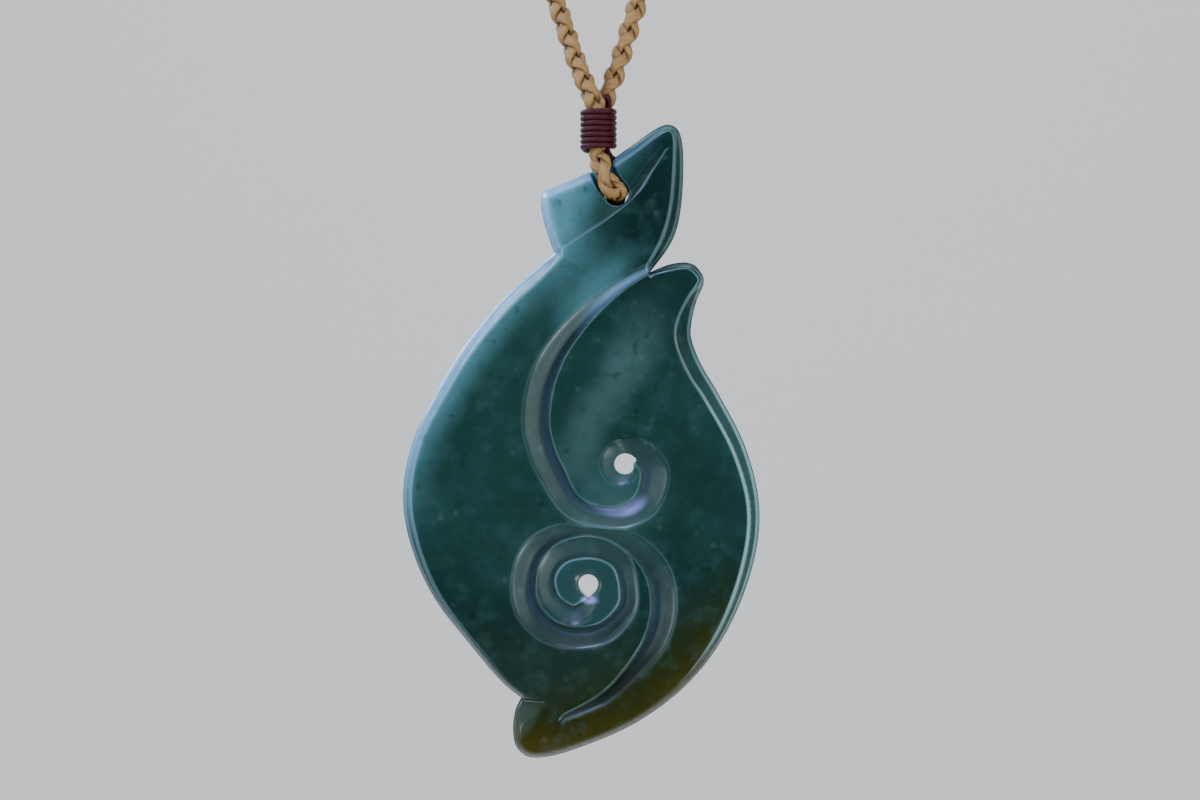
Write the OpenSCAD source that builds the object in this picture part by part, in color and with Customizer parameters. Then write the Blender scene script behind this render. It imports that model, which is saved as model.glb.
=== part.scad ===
// Carved greenstone fish-hook pendant on a plaited neck cord.
// Millimetres, +Z up, the carved face looks along -Y. The origin is where the cord sits on the nape.

/* [Stone] */
// Width of the stone at its widest place
stone_w = 36.6; // [34:0.2:40]
// Height of the stone from its foot to its leaf tip
stone_h = 65; // [62:0.5:70]
// Thickness of the slab that it was cut from
stone_t = 5; // [4.4:0.1:6]
// How far the rounded edge reaches in over each face
edge_reach = 1.4; // [0.8:0.1:1.6]
// How far the rounded edge falls from each face
edge_fall = 1.3; // [0.6:0.1:1.6]

/* [Carving] */
// Width of the scoop beside each carved line
scoop_w = 2.4; // [1.8:0.1:2.6]
// Depth of the scoop at the foot of its line
scoop_d = 1; // [0.5:0.1:1.4]
// Width of the facet ground on the foot, from its ridge to the outline
foot_w = 3.2; // [2.4:0.1:3.6]
// How far that facet falls over its width
foot_cut = 1.8; // [1:0.1:2.2]
// Diameter of the drilled eye of each spiral
eye_d = 2.2; // [1.6:0.1:2.6]
// Diameter of the shallow dish round the upper eye
dish_d = 5; // [4:0.1:5.4]
// Depth of that dish
dish_d_in = 0.5; // [0.2:0.1:0.9]

/* [Cord] */
// Diameter of the plaited cord
cord_d = 2.1; // [1.8:0.1:2.2]
// Diameter of the hole that the cord goes through
cord_hole_d = 2.7; // [2.6:0.1:3]
// Gap left round the cord where it beds in the stone and in its bindings
bed_gap = 0.15; // [0.1:0.05:0.2]
// Width of the loop at the sides of the neck
loop_w = 105; // [96:1:120]
// How far forward of the nape the pendant hangs
loop_reach = 150; // [120:1:170]
// How far below the nape the front binding starts
loop_drop = 215; // [190:1:260]

/* [Bindings] */
// Thickness of the thread wall round the cord
thread_t = 0.6; // [0.4:0.05:0.8]
// Length of the front binding
front_len = 4.7; // [3.5:0.1:5]
// Turns of thread that show on the front binding
front_turns = 7; // [5:1:9]
// Length of the binding that joins the cord's ends at the nape
nape_len = 10; // [8:0.5:11]
// Turns of thread on the nape binding
nape_turns = 14; // [10:1:18]

/* [Hidden] */

cord_r = cord_d / 2;
bed_r = cord_r + bed_gap;
wound_r = bed_r + thread_t;

// Half the distance between the two strands that lie one behind the other in the front binding
strand_y = cord_r + 0.1;
// How far each of them leans to its own side there
strand_x = 0.1;

// Places: the nape strand lies on the origin, and the front binding's top hangs from it
nape = [0, 0, wound_r];
tie_top = [0, -loop_reach, nape.z - loop_drop];

// The hole's place on the stone, as shares of its width and height
HOLE = [0.599, 0.892];
// The hole's place from the top of the front binding, to its right and below its lower end
hole_right = 1.84;
hole_below = 4.2;
hole_drop = front_len + hole_below;
stone_left = tie_top.x + hole_right - HOLE.x * stone_w;
stone_foot = tie_top.z - hole_drop - HOLE.y * stone_h;

// Outline of the stone in three runs that meet in three sharp notches, clockwise from the left notch.
// Columns: share of the width, share of the height, share of the edge's reach
TAB_RUN = [
    [0.424, 0.798, 1.0], [0.399, 0.839, 0.9], [0.387, 0.872, 0.5], [0.392, 0.889, 0.4],
    [0.413, 0.898, 0.6], [0.497, 0.918, 0.9], [0.560, 0.935, 0.9], [0.640, 0.966, 0.9],
    [0.706, 0.992, 0.6], [0.746, 1.000, 0.5], [0.776, 0.987, 0.6], [0.787, 0.946, 0.8],
    [0.781, 0.872, 1.0], [0.756, 0.817, 1.0], [0.693, 0.767, 0.8]
];
FLUKE_RUN = [
    [0.693, 0.767, 0.8], [0.754, 0.780, 0.6], [0.807, 0.781, 0.4], [0.838, 0.765, 0.4],
    [0.843, 0.748, 0.4], [0.823, 0.720, 0.8], [0.809, 0.685, 1.0], [0.811, 0.658, 1.0],
    [0.840, 0.618, 1.0], [0.885, 0.575, 1.0], [0.962, 0.489, 1.0], [1.000, 0.394, 1.0],
    [0.980, 0.300, 1.0], [0.908, 0.199, 1.0], [0.799, 0.117, 1.0], [0.652, 0.055, 1.0],
    [0.483, 0.014, 0.9], [0.377, 0.000, 0.8], [0.325, 0.012, 0.8], [0.309, 0.040, 0.8],
    [0.314, 0.073, 0.6], [0.332, 0.095, 0.4]
];
BACK_RUN = [
    [0.332, 0.095, 0.4], [0.274, 0.122, 0.7], [0.194, 0.175, 1.0], [0.092, 0.249, 1.0],
    [0.027, 0.327, 1.0], [0.000, 0.412, 1.0], [0.027, 0.499, 1.0], [0.092, 0.576, 1.0],
    [0.176, 0.654, 1.0], [0.279, 0.725, 1.0], [0.372, 0.773, 1.0], [0.424, 0.798, 1.0]
];

// Carved lines. Each has its sharp shoulder on the line and a scoop to its right that rises again.
// Columns: share of the width, share of the height, share of the scoop's width, share of its depth
HOOK_LINE = [
    [0.693, 0.767, 0.20, 0.3], [0.637, 0.747, 0.35, 0.7], [0.581, 0.722, 0.45, 0.9],
    [0.525, 0.690, 0.60, 1.0], [0.469, 0.648, 0.80, 1.0], [0.436, 0.612, 0.95, 1.0],
    [0.416, 0.574, 1.00, 1.0], [0.409, 0.527, 1.00, 1.0], [0.427, 0.484, 1.00, 1.0],
    [0.450, 0.456, 0.95, 1.0], [0.489, 0.414, 0.85, 1.0], [0.547, 0.397, 0.75, 1.0],
    [0.609, 0.397, 0.85, 1.0], [0.654, 0.415, 1.05, 1.0], [0.669, 0.444, 1.15, 1.0],
    [0.665, 0.458, 1.10, 0.8], [0.650, 0.466, 0.90, 0.4]
];
SPIRAL_LINE = [
    [0.455, 0.070, 0.15, 0.2], [0.511, 0.086, 0.30, 0.5], [0.575, 0.111, 0.50, 0.9],
    [0.637, 0.152, 0.75, 1.0], [0.679, 0.192, 0.95, 1.0], [0.698, 0.236, 1.00, 1.0],
    [0.687, 0.284, 1.00, 0.8], [0.642, 0.323, 0.80, 0.5], [0.581, 0.346, 0.50, 0.3],
    [0.511, 0.353, 0.35, 0.3], [0.441, 0.343, 0.70, 0.6], [0.391, 0.318, 0.90, 0.9],
    [0.372, 0.284, 1.00, 1.0], [0.377, 0.246, 1.00, 1.0], [0.419, 0.218, 0.95, 1.0],
    [0.483, 0.207, 0.90, 1.0], [0.553, 0.214, 0.85, 1.0], [0.601, 0.240, 0.80, 1.0],
    [0.609, 0.265, 0.75, 0.9], [0.595, 0.298, 0.60, 0.8], [0.561, 0.313, 0.45, 0.7],
    [0.511, 0.317, 0.40, 0.7], [0.455, 0.309, 0.40, 0.7], [0.426, 0.284, 0.40, 0.7],
    [0.439, 0.254, 0.40, 0.7], [0.475, 0.240, 0.40, 0.7], [0.506, 0.243, 0.30, 0.5]
];
STRAP_LINE = [
    [0.735, 0.959, 0.30, 0.15], [0.698, 0.927, 0.60, 0.3], [0.659, 0.893, 0.80, 0.4],
    [0.581, 0.855, 1.00, 0.4], [0.497, 0.824, 1.00, 0.4], [0.415, 0.794, 0.90, 0.4]
];
// Ridge of the ground-back foot.
// Columns: share of the width, share of the height, heading of the ground side in degrees
FOOT_LINE = [[0.405, 0.092, 175], [0.372, 0.073, 175], [0.335, 0.052, 175], [0.330, 0.028, 185], [0.316, 0.008, 205]];

// Centres of the two spiral eyes, as shares of the stone's width and height
UPPER_EYE = [0.623, 0.464];
LOWER_EYE = [0.520, 0.275];
// How far the lower eye is drawn out to a point below its centre, as a share of its diameter
eye_point = 0.72;

// One side of the loop from the nape to just above the front binding, as shares of half the
// loop's width, of its reach and of its drop
LOOP_SIDE = [
    [0.12, 0.000, 0.000], [0.35, 0.020, 0.012], [0.65, 0.080, 0.047], [0.87, 0.160, 0.100],
    [0.985, 0.240, 0.165], [0.985, 0.320, 0.234], [0.90, 0.425, 0.320], [0.73, 0.565, 0.460],
    [0.52, 0.730, 0.630], [0.31, 0.870, 0.800]
];
// The cord from its front leg down through the stone and up into its back leg, from the top of the
// front binding. Columns: to the right, towards the back, up
TIE = [
    [-4.2, 2.4, 10.7], [-2.6, 0.6, 5.6], [-1.1, -0.85, 1.6], [-0.15, -1.15, 0.2], [-0.1, -1.15, -1.2],
    [-0.1, -1.15, -4.6], [0.15, -1.8, -5.8], [0.6, -2.6, -7.2], [1.25, -2.55, -8.4], [1.84, -1.3, -9.1],
    [1.84, 0, -9.2], [1.84, 1.3, -9.1], [1.25, 2.55, -8.4], [0.6, 2.6, -7.2], [0.15, 1.8, -5.8],
    [0.1, 1.15, -4.6], [0.1, 1.15, -1.2], [0.15, 1.15, 0.2], [1.0, 1.5, 1.6], [2.4, 2.9, 5.6], [3.8, 4.7, 10.7]
];
// First and last places in TIE of the stretch that beds in the stone
TIE_BED = [5, 15];

function side(sign) = [for (p = LOOP_SIDE)
    nape + [sign * p.x * loop_w / 2, -p.y * loop_reach, -p.z * loop_drop]];
function flip(list) = [for (i = [len(list) - 1:-1:0]) list[i]];

// A smooth curve through points p0 to p3, at share t of the way from p1 to p2
function smooth(p0, p1, p2, p3, t) =
    let (a = 2 * p1, b = p2 - p0, c = 2 * p0 - 5 * p1 + 4 * p2 - p3, d = 3 * p1 - p0 - 3 * p2 + p3)
    (a + b * t + c * t * t + d * t * t * t) / 2;
function at(list, i) = list[max(0, min(len(list) - 1, i))];
// The curve through a list, with the given number of steps from each point to the next
function curve(list, steps) = [
    for (i = [0:len(list) - 2], k = [0:steps - 1])
        smooth(at(list, i - 1), list[i], list[i + 1], at(list, i + 2), k / steps),
    list[len(list) - 1]
];
function drop_last(list) = [for (i = [0:len(list) - 2]) list[i]];
function part_of(list, first, last) = [for (i = [first:last]) list[i]];

// The closed outline, with its three columns still as shares
OUTLINE_STEPS = 4;
OUTLINE = concat(
    drop_last(curve(TAB_RUN, OUTLINE_STEPS)),
    drop_last(curve(FLUKE_RUN, OUTLINE_STEPS)),
    drop_last(curve(BACK_RUN, OUTLINE_STEPS))
);
function on_stone(p) = [p.x * stone_w, p.y * stone_h];
EDGE = [for (p = OUTLINE) on_stone(p)];
function unit(v) = v / norm(v);
// Directions into the stone at each outline point; the outline runs clockwise
INWARD = [for (i = [0:len(EDGE) - 1])
    let (n = len(EDGE), v = unit(EDGE[(i + 1) % n] - EDGE[(i + n - 1) % n])) [v.y, -v.x]];

// The rounded edge, from the back face to the front one, in quarter circles of EDGE_STEPS steps
EDGE_STEPS = 3;
function edge_place(a) = [1 - cos(a), stone_t / 2 - edge_fall * (1 - sin(a))];
EDGE_RINGS = concat(
    [for (k = [EDGE_STEPS:-1:0]) let (e = edge_place(90 * k / EDGE_STEPS)) [e.x, -e.y]],
    [for (k = [0:EDGE_STEPS]) edge_place(90 * k / EDGE_STEPS)]
);

// The faces between each ring of n points and the next, for the given number of gaps between rings
function ring_faces(n, gaps, rings = 0) = [
    for (r = [0:gaps - 1], i = [0:n - 1])
        let (j = (i + 1) % n, up = rings == 0 ? r + 1 : (r + 1) % rings)
            each [[r * n + j, up * n + i, r * n + i], [r * n + j, up * n + j, up * n + i]]
];
// A solid skinned over rings that all have the same number of points, with a cap on each end
module rings_solid(rings) {
    n = len(rings[0]);
    last = len(rings) - 1;
    polyhedron(
        points = [for (ring = rings, p = ring) p],
        faces = concat(
            [[for (i = [n - 1:-1:0]) i]],
            ring_faces(n, last),
            [[for (i = [0:n - 1]) last * n + i]]
        )
    );
}

// The plain slab with its rounded edge, lying flat with the carved face up
module slab() {
    rings_solid([for (e = EDGE_RINGS) [for (i = [0:len(EDGE) - 1])
        let (p = EDGE[i] + INWARD[i] * e.x * edge_reach * OUTLINE[i][2]) [p.x, p.y, e.y]]]);
}

// A closed band skinned over rings, the last of which meets the first
module band_solid(rings) {
    n = len(rings[0]);
    polyhedron(
        points = [for (ring = rings, p = ring) p],
        faces = ring_faces(n, len(rings), len(rings))
    );
}

// How far each cutter stands above the face that it cuts
lift = 1;
// One section of a cutter, square to its line
function section(place, heading, outline) = [for (q = outline)
    [place.x + q.x * cos(heading), place.y + q.x * sin(heading), stone_t / 2 + q.y]];
// A row of cutters, each joining one section to the next
module cutters(sections) {
    for (i = [0:len(sections) - 2])
        hull()
            rings_solid([sections[i], sections[i + 1]]);
}
function scoop(w, d) = [[0, lift], [0, -0.55 * d], [0.12 * w, -d], [0.55 * w, -0.62 * d], [w, 0.02], [w, lift]];
// Headings that point to the right of a line at each of its points
function right_of(line) = [for (i = [0:len(line) - 1])
    let (v = at(line, i + 1) - at(line, i - 1)) atan2(-v.x, v.y)];

// The scoop beside a carved line, joined from section to section
module carve(table, steps) {
    line = curve(table, steps);
    places = [for (p = line) on_stone(p)];
    headings = right_of(places);
    cutters([for (i = [0:len(line) - 1])
        section(places[i], headings[i], scoop(line[i][2] * scoop_w, line[i][3] * scoop_d))]);
}

// The wedge ground off the foot, from its ridge out past the outline
module foot_wedge() {
    out = foot_w + edge_reach;
    wedge = [[0, lift], [0, 0], [out, -foot_cut * out / foot_w], [out, lift]];
    cutters([for (p = FOOT_LINE) section(on_stone(p), p[2], wedge)]);
}

module eye(share, point) {
    hull() {
        translate(on_stone(share))
            cylinder(d = eye_d, h = 2 * stone_t, center = true, $fn = 28);
        translate(on_stone(share) - [0, point * eye_d, 0])
            cylinder(d = 0.2, h = 2 * stone_t, center = true, $fn = 8);
    }
}
module dish() {
    translate([on_stone(UPPER_EYE).x, on_stone(UPPER_EYE).y, stone_t / 2 - dish_d_in])
        cylinder(d1 = 0.62 * dish_d, d2 = dish_d + 2 * lift, h = dish_d_in + lift, $fn = 32);
}

// Stands the flat stone up in its place, with the carved face to -Y
module stand_up() {
    translate([stone_left, tie_top.y, stone_foot])
        rotate([90, 0, 0])
            children();
}

// A round tube swept along points, its rings turned as little as possible from one to the next
TUBE_SIDES = 8;
function headings_of(path) = [for (i = [0:len(path) - 1]) unit(at(path, i + 1) - at(path, i - 1))];
function level(v, along) = unit(v - (v * along) * along);
function sides_of(dirs, i = 0, list = []) =
    i == len(dirs) ? list
    : sides_of(dirs, i + 1, concat(list, [level(i == 0 ? [0, 0, 1] : list[i - 1], dirs[i])]));
module tube(path, r) {
    dirs = headings_of(path);
    ups = sides_of(dirs);
    rings_solid([for (i = [0:len(path) - 1]) [for (k = [0:TUBE_SIDES - 1])
        let (a = -360 * k / TUBE_SIDES)
            path[i] + r * (cos(a) * ups[i] + sin(a) * cross(dirs[i], ups[i]))]]);
}

// The whole route of the cord, from its left end at the nape round to its right end
join_gap = 0.2;
LOOP_STEPS = 2;
TIE_STEPS = 2;
TIE_CURVE = curve([for (p = TIE) tie_top + p], TIE_STEPS);
function leg(sign, end) = drop_last(curve(concat(side(sign), [end]), LOOP_STEPS));
ROUTE = concat(
    [nape - [join_gap / 2, 0, 0]],
    leg(-1, TIE_CURVE[0]),
    TIE_CURVE,
    flip(leg(1, TIE_CURVE[len(TIE_CURVE) - 1])),
    [nape + [join_gap / 2, 0, 0]]
);

module hook_stone() {
    color("darkslategray")
        difference() {
            stand_up() difference() {
                slab();
                carve(HOOK_LINE, 2);
                carve(SPIRAL_LINE, 2);
                carve(STRAP_LINE, 1);
                foot_wedge();
                dish();
                eye(UPPER_EYE, 0);
                eye(LOWER_EYE, eye_point);
                translate(on_stone(HOLE))
                    cylinder(d = cord_hole_d, h = 2 * stone_t, center = true, $fn = 28);
            }
            tube(part_of(TIE_CURVE, TIE_STEPS * TIE_BED[0], TIE_STEPS * TIE_BED[1]), bed_r);
        }
}

module neck_cord() {
    color("tan")
        tube(ROUTE, cord_r);
}

// An outline at distance r round the two strands in the front binding
function round_pair(r, z, n = 24) = [for (k = [0:n - 1])
    let (a = -360 * (k + 0.5) / n, s = sin(a) > 0 ? 1 : -1)
        [s * strand_x + r * cos(a), s * strand_y + r * sin(a), z]];
// A thread wall with one bulge for each turn, about the Z axis and below the origin
turn_dip = 0.3;
TURN_RINGS = 4;
module front_binding() {
    rings = front_turns * TURN_RINGS;
    color("maroon")
        translate(tie_top)
            band_solid(concat(
                [for (k = [0:rings])
                    let (dip = turn_dip * thread_t * pow(cos(180 * k / TURN_RINGS), 2))
                        round_pair(wound_r - dip, front_len * (k / rings - 1))],
                [for (z = [0, -front_len]) round_pair(bed_r, z)]
            ));
}

module nape_binding() {
    half = nape_len / 2;
    turn = nape_len / nape_turns;
    color("maroon")
        translate(nape)
            rotate([0, 90, 0])
                rotate_extrude($fn = 32)
                    polygon(concat(
                        [[bed_r, -half], [bed_r, half]],
                        [for (k = [2 * nape_turns:-1:0])
                            [wound_r - (k % 2 == 0 ? turn_dip * thread_t : 0), -half + k * turn / 2]]
                    ));
}

hook_stone();
neck_cord();
front_binding();
nape_binding();
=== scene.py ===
# %% [markdown]
# # A carved greenstone fish hook on a plaited neck cord
# This lesson dresses a packed CAD model of a pendant. The stone is a slab of translucent green
# stone, sawn to a fish-hook outline and carved on one face with two spirals. It hangs from a
# plaited tan cord that is bound with burgundy thread above the stone and once more at the nape.
# The CAD solids give each piece its size and place. Every finer form is made here.

# %% Load the packed model
import math

import bmesh
import bpy
import numpy as np
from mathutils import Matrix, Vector
from mathutils.geometry import delaunay_2d_cdt


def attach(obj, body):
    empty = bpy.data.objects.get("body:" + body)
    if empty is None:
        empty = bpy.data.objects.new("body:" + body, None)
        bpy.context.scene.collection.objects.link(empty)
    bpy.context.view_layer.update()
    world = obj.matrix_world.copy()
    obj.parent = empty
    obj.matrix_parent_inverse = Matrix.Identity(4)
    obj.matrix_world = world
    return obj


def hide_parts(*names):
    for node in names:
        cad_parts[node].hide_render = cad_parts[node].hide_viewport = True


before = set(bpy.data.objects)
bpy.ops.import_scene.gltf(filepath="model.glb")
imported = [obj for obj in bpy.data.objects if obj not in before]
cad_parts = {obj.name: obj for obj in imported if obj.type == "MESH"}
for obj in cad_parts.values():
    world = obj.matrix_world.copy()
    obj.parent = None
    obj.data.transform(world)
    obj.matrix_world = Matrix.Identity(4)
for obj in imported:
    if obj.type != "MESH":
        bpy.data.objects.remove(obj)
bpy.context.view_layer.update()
MM = 0.001

# %% [markdown]
# ## The places that the pieces share
# The cord lies on the nape at the origin, and the pendant hangs from the top of its front binding.
# The stone is placed by its cord hole, which lies below that binding. All shape work is done in
# millimetres, and each mesh is scaled to metres when it is finished.

# %% Shared places, in millimetres
TIE_TOP = np.array([0.0, -150.0, -213.2])
BINDING_LENGTH = 4.7
STONE_W, STONE_H, STONE_T = 36.6, 65.0, 5.0
HOLE_SHARE = (0.599, 0.892)
HOLE_RIGHT, HOLE_BELOW = 1.84, 4.2
HOLE_CENTRE = np.array([TIE_TOP[0] + HOLE_RIGHT, TIE_TOP[2] - BINDING_LENGTH - HOLE_BELOW])
STONE_LEFT = HOLE_CENTRE[0] - HOLE_SHARE[0] * STONE_W
STONE_FOOT = HOLE_CENTRE[1] - HOLE_SHARE[1] * STONE_H
FRONT, BACK = TIE_TOP[1] - STONE_T / 2, TIE_TOP[1] + STONE_T / 2
print("stone's left and foot:", round(STONE_LEFT, 2), round(STONE_FOOT, 2))


# %% [markdown]
# ## Curves from a few points
# A carver draws with a few marks and joins them by eye. The helpers here do the same: they take
# shares of the stone's size to their places, run a smooth curve through them, and space it evenly.

# %% From shares to smooth, even curves
def on_stone(rows):
    """Rows whose first two columns are shares of the stone, with those two in millimetres."""
    rows = np.array(rows, float)
    rows[:, 0] = STONE_LEFT + rows[:, 0] * STONE_W
    rows[:, 1] = STONE_FOOT + rows[:, 1] * STONE_H
    return rows


def smooth_run(rows, steps=8):
    """A curve through every row. All columns are carried along."""
    rows = np.array(rows, float)
    last = len(rows) - 1
    out = []
    for i in range(last):
        p0, p1, p2, p3 = rows[max(i - 1, 0)], rows[i], rows[i + 1], rows[min(i + 2, last)]
        for t in np.arange(steps) / steps:
            out.append((2 * p1 + (p2 - p0) * t + (2 * p0 - 5 * p1 + 4 * p2 - p3) * t * t
                        + (3 * p1 - p0 - 3 * p2 + p3) * t ** 3) / 2)
    return np.array(out + [rows[-1]])


def respace(rows, gap, axes=2):
    """The same curve with even spacing, measured over its first columns."""
    steps = np.linalg.norm(np.diff(rows[:, :axes], axis=0), axis=1)
    along = np.concatenate([[0], np.cumsum(steps)])
    count = max(2, round(along[-1] / gap) + 1)
    want = np.linspace(0, along[-1], count)
    return np.column_stack([np.interp(want, along, column) for column in rows.T])


def back_to_start(loop):
    """A loop whose first place comes again at its end."""
    return np.vstack([loop, loop[:1]])


print("middle of the stone in mm:", on_stone([(0.5, 0.5)])[0].round(1))

# %% [markdown]
# ## The stone's plan
# A carver saws the slab to a drawn outline first. The outline here is three smooth runs that meet
# in three notches: beside the tab, between leaf and fluke, and above the foot. The third column
# says how far the bevel of the edge reaches in at each place, as a share of its widest reach.

# %% The outline, clockwise from the left notch
TAB_RUN = [
    (0.424, 0.798, 0.6), (0.399, 0.839, 0.4), (0.387, 0.872, 0.4), (0.392, 0.889, 0.4),
    (0.413, 0.898, 0.45), (0.497, 0.918, 0.5), (0.560, 0.935, 0.5), (0.640, 0.966, 0.55),
    (0.706, 0.992, 0.5), (0.746, 1.000, 0.45), (0.776, 0.987, 0.5), (0.787, 0.946, 0.7),
    (0.781, 0.872, 0.8), (0.756, 0.817, 0.8), (0.693, 0.767, 0.4),
]
FLUKE_RUN = [
    (0.693, 0.767, 0.2), (0.754, 0.780, 0.4), (0.807, 0.781, 0.4), (0.838, 0.765, 0.35),
    (0.843, 0.748, 0.35), (0.823, 0.720, 0.7), (0.809, 0.685, 1.1), (0.811, 0.658, 1.25),
    (0.840, 0.618, 1.2), (0.885, 0.575, 1.1), (0.962, 0.489, 1.0), (1.000, 0.394, 0.85),
    (0.980, 0.300, 0.8), (0.908, 0.199, 0.65), (0.799, 0.117, 0.5), (0.652, 0.055, 0.45),
    (0.483, 0.014, 0.45), (0.377, 0.000, 0.45), (0.325, 0.012, 0.5), (0.309, 0.040, 0.5),
    (0.314, 0.073, 0.45), (0.332, 0.095, 0.4),
]
BACK_RUN = [
    (0.332, 0.095, 0.4), (0.274, 0.122, 0.4), (0.194, 0.175, 0.4), (0.092, 0.249, 0.5),
    (0.027, 0.327, 0.6), (0.000, 0.412, 0.6), (0.027, 0.499, 0.6), (0.092, 0.576, 0.7),
    (0.176, 0.654, 0.8), (0.279, 0.725, 0.9), (0.372, 0.773, 0.9), (0.424, 0.798, 0.6),
]
EDGE_REACH = 1.4
OUTLINE_GAP = 0.2
OUTLINE = np.vstack([
    respace(on_stone(smooth_run(run)), OUTLINE_GAP)[:-1] for run in (TAB_RUN, FLUKE_RUN, BACK_RUN)
])
OUTLINE[:, 2] *= EDGE_REACH
print("outline points:", len(OUTLINE))

# %% [markdown]
# ## The carved lines
# Each line is cut with a burr: a sharp step down on the line itself, and a scoop to the right of
# travel that rises again to the face. The columns are the place on the stone, the width of the
# scoop and its depth. The hook line ends in a beak at the upper eye, then runs on round that eye
# as a narrowing crescent.

# %% The carved lines, in shares and millimetres
HOOK_LINE = [
    (0.693, 0.767, 0.90, 0.30), (0.637, 0.747, 1.15, 0.38), (0.581, 0.722, 1.40, 0.48),
    (0.525, 0.690, 1.75, 0.62), (0.469, 0.648, 2.10, 0.80), (0.436, 0.612, 2.40, 0.92),
    (0.416, 0.574, 2.60, 0.95), (0.409, 0.527, 2.65, 0.95), (0.427, 0.484, 2.60, 0.95),
    (0.450, 0.456, 2.50, 1.0), (0.489, 0.414, 2.20, 1.0), (0.547, 0.397, 2.00, 1.0),
    (0.609, 0.397, 2.20, 1.0), (0.654, 0.415, 2.60, 1.0), (0.669, 0.444, 2.80, 0.95),
    (0.665, 0.458, 2.60, 0.85), (0.652, 0.466, 2.30, 0.75),
]
SPIRAL_LINE = [
    (0.440, 0.062, 0.30, 0.15), (0.455, 0.070, 0.50, 0.25), (0.511, 0.086, 0.80, 0.50),
    (0.575, 0.111, 1.25, 0.90), (0.637, 0.152, 1.80, 1.0), (0.679, 0.192, 2.30, 1.0),
    (0.698, 0.236, 2.45, 1.0), (0.687, 0.284, 2.45, 0.85), (0.642, 0.323, 2.00, 0.55),
    (0.581, 0.346, 1.30, 0.35), (0.511, 0.353, 0.90, 0.30), (0.441, 0.343, 1.70, 0.60),
    (0.391, 0.318, 2.20, 0.90), (0.372, 0.284, 2.40, 1.0), (0.377, 0.246, 2.40, 1.0),
    (0.419, 0.218, 2.30, 1.0), (0.483, 0.207, 2.15, 1.0), (0.553, 0.214, 2.05, 1.0),
    (0.601, 0.240, 1.90, 1.0), (0.609, 0.265, 1.80, 0.90), (0.595, 0.298, 1.90, 0.80),
    (0.561, 0.313, 2.05, 0.70), (0.511, 0.317, 2.20, 0.65), (0.455, 0.309, 2.05, 0.65),
    (0.426, 0.284, 1.90, 0.65), (0.439, 0.256, 1.95, 0.65), (0.475, 0.242, 2.10, 0.70),
    (0.500, 0.247, 1.70, 0.65), (0.520, 0.253, 1.10, 0.50), (0.536, 0.258, 0.70, 0.30),
    (0.550, 0.266, 0.40, 0.08),
]
STRAP_LINE = [
    (0.735, 0.959, 0.60, 0.10), (0.698, 0.927, 0.90, 0.20), (0.659, 0.893, 1.10, 0.25),
    (0.581, 0.855, 1.30, 0.23), (0.497, 0.824, 1.40, 0.20), (0.415, 0.794, 1.40, 0.15),
]
# The ridge of the ground-back foot, and the short ledge above the ground face
FOOT_RIDGE = [(0.405, 0.092), (0.372, 0.073), (0.335, 0.052), (0.330, 0.028), (0.316, 0.004)]
LEDGE = [(0.405, 0.092), (0.370, 0.0935), (0.320, 0.095)]
FOOT_SLOPE = 0.56

# %% [markdown]
# ## The drilled eyes
# An eye is drilled first and then opened with a file. Its outline is a short table of directions
# and radii: the upper eye has a beak pushed into its right side, and the lower one is drawn out to
# a point below.

# %% The eyes and the cord hole, as degrees and millimetres
UPPER_EYE = [(0, 0.87), (6, 0.90), (11, 1.18), (24, 1.24), (45, 1.14), (75, 1.09), (200, 1.09),
             (300, 1.09), (325, 1.02), (345, 0.90)]
LOWER_EYE = [(0, 1.03), (90, 1.00), (180, 1.03), (215, 1.05), (245, 1.18), (260, 1.38), (270, 1.58),
             (280, 1.38), (295, 1.18), (325, 1.05)]
CORD_HOLE = [(0, 1.25), (180, 1.25)]


def drilled(share, table, count):
    """A closed loop round a place on the stone, from a table of directions and radii."""
    centre = on_stone([share])[0]
    degrees = np.arange(count) * 360 / count
    ways, radii = np.array(table, float).T
    radius = np.interp(degrees, ways, radii, period=360)
    angle = np.radians(degrees)
    return np.column_stack([centre[0] + radius * np.cos(angle), centre[1] + radius * np.sin(angle)])


UPPER_EYE_AT, LOWER_EYE_AT = (0.623, 0.464), (0.520, 0.275)
EYE_POINTS, HOLE_POINTS = 72, 60
upper_eye = drilled(UPPER_EYE_AT, UPPER_EYE, EYE_POINTS)
lower_eye = drilled(LOWER_EYE_AT, LOWER_EYE, EYE_POINTS)
HOLES = [upper_eye, lower_eye, drilled(HOLE_SHARE, CORD_HOLE, HOLE_POINTS)]
EYE_X, EYE_Z = on_stone([UPPER_EYE_AT])[0]
print("upper eye in mm:", round(EYE_X, 2), round(EYE_Z, 2))

# %% [markdown]
# ## The hook line runs on round the upper eye
# The burr that cut the hook line is carried on round the eye without lifting it, so the crescent
# belongs to the same line. It is easier to place by direction and radius than by shares.

# %% The crescent, and every line at even spacing
# Columns: direction in degrees, radius, width of the scoop, its depth
CRESCENT = [
    (60, 0.80, 2.20, 0.64), (95, 0.90, 1.65, 0.56), (135, 1.00, 1.60, 0.50),
    (180, 1.05, 1.60, 0.50), (225, 1.05, 1.50, 0.48), (255, 1.05, 1.20, 0.42),
    (280, 1.05, 0.95, 0.34), (305, 1.03, 0.75, 0.22), (325, 1.00, 0.45, 0.08),
]
crescent = np.array([
    (EYE_X + radius * math.cos(math.radians(way)), EYE_Z + radius * math.sin(math.radians(way)),
     width, depth)
    for way, radius, width, depth in CRESCENT
])
LINE_GAP = 0.15
hook = np.vstack([on_stone(HOOK_LINE), crescent])
LINES = {
    "hook": respace(smooth_run(hook), LINE_GAP),
    "spiral": respace(smooth_run(on_stone(SPIRAL_LINE)), LINE_GAP),
    "strap": respace(smooth_run(on_stone(STRAP_LINE)), LINE_GAP),
}
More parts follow.
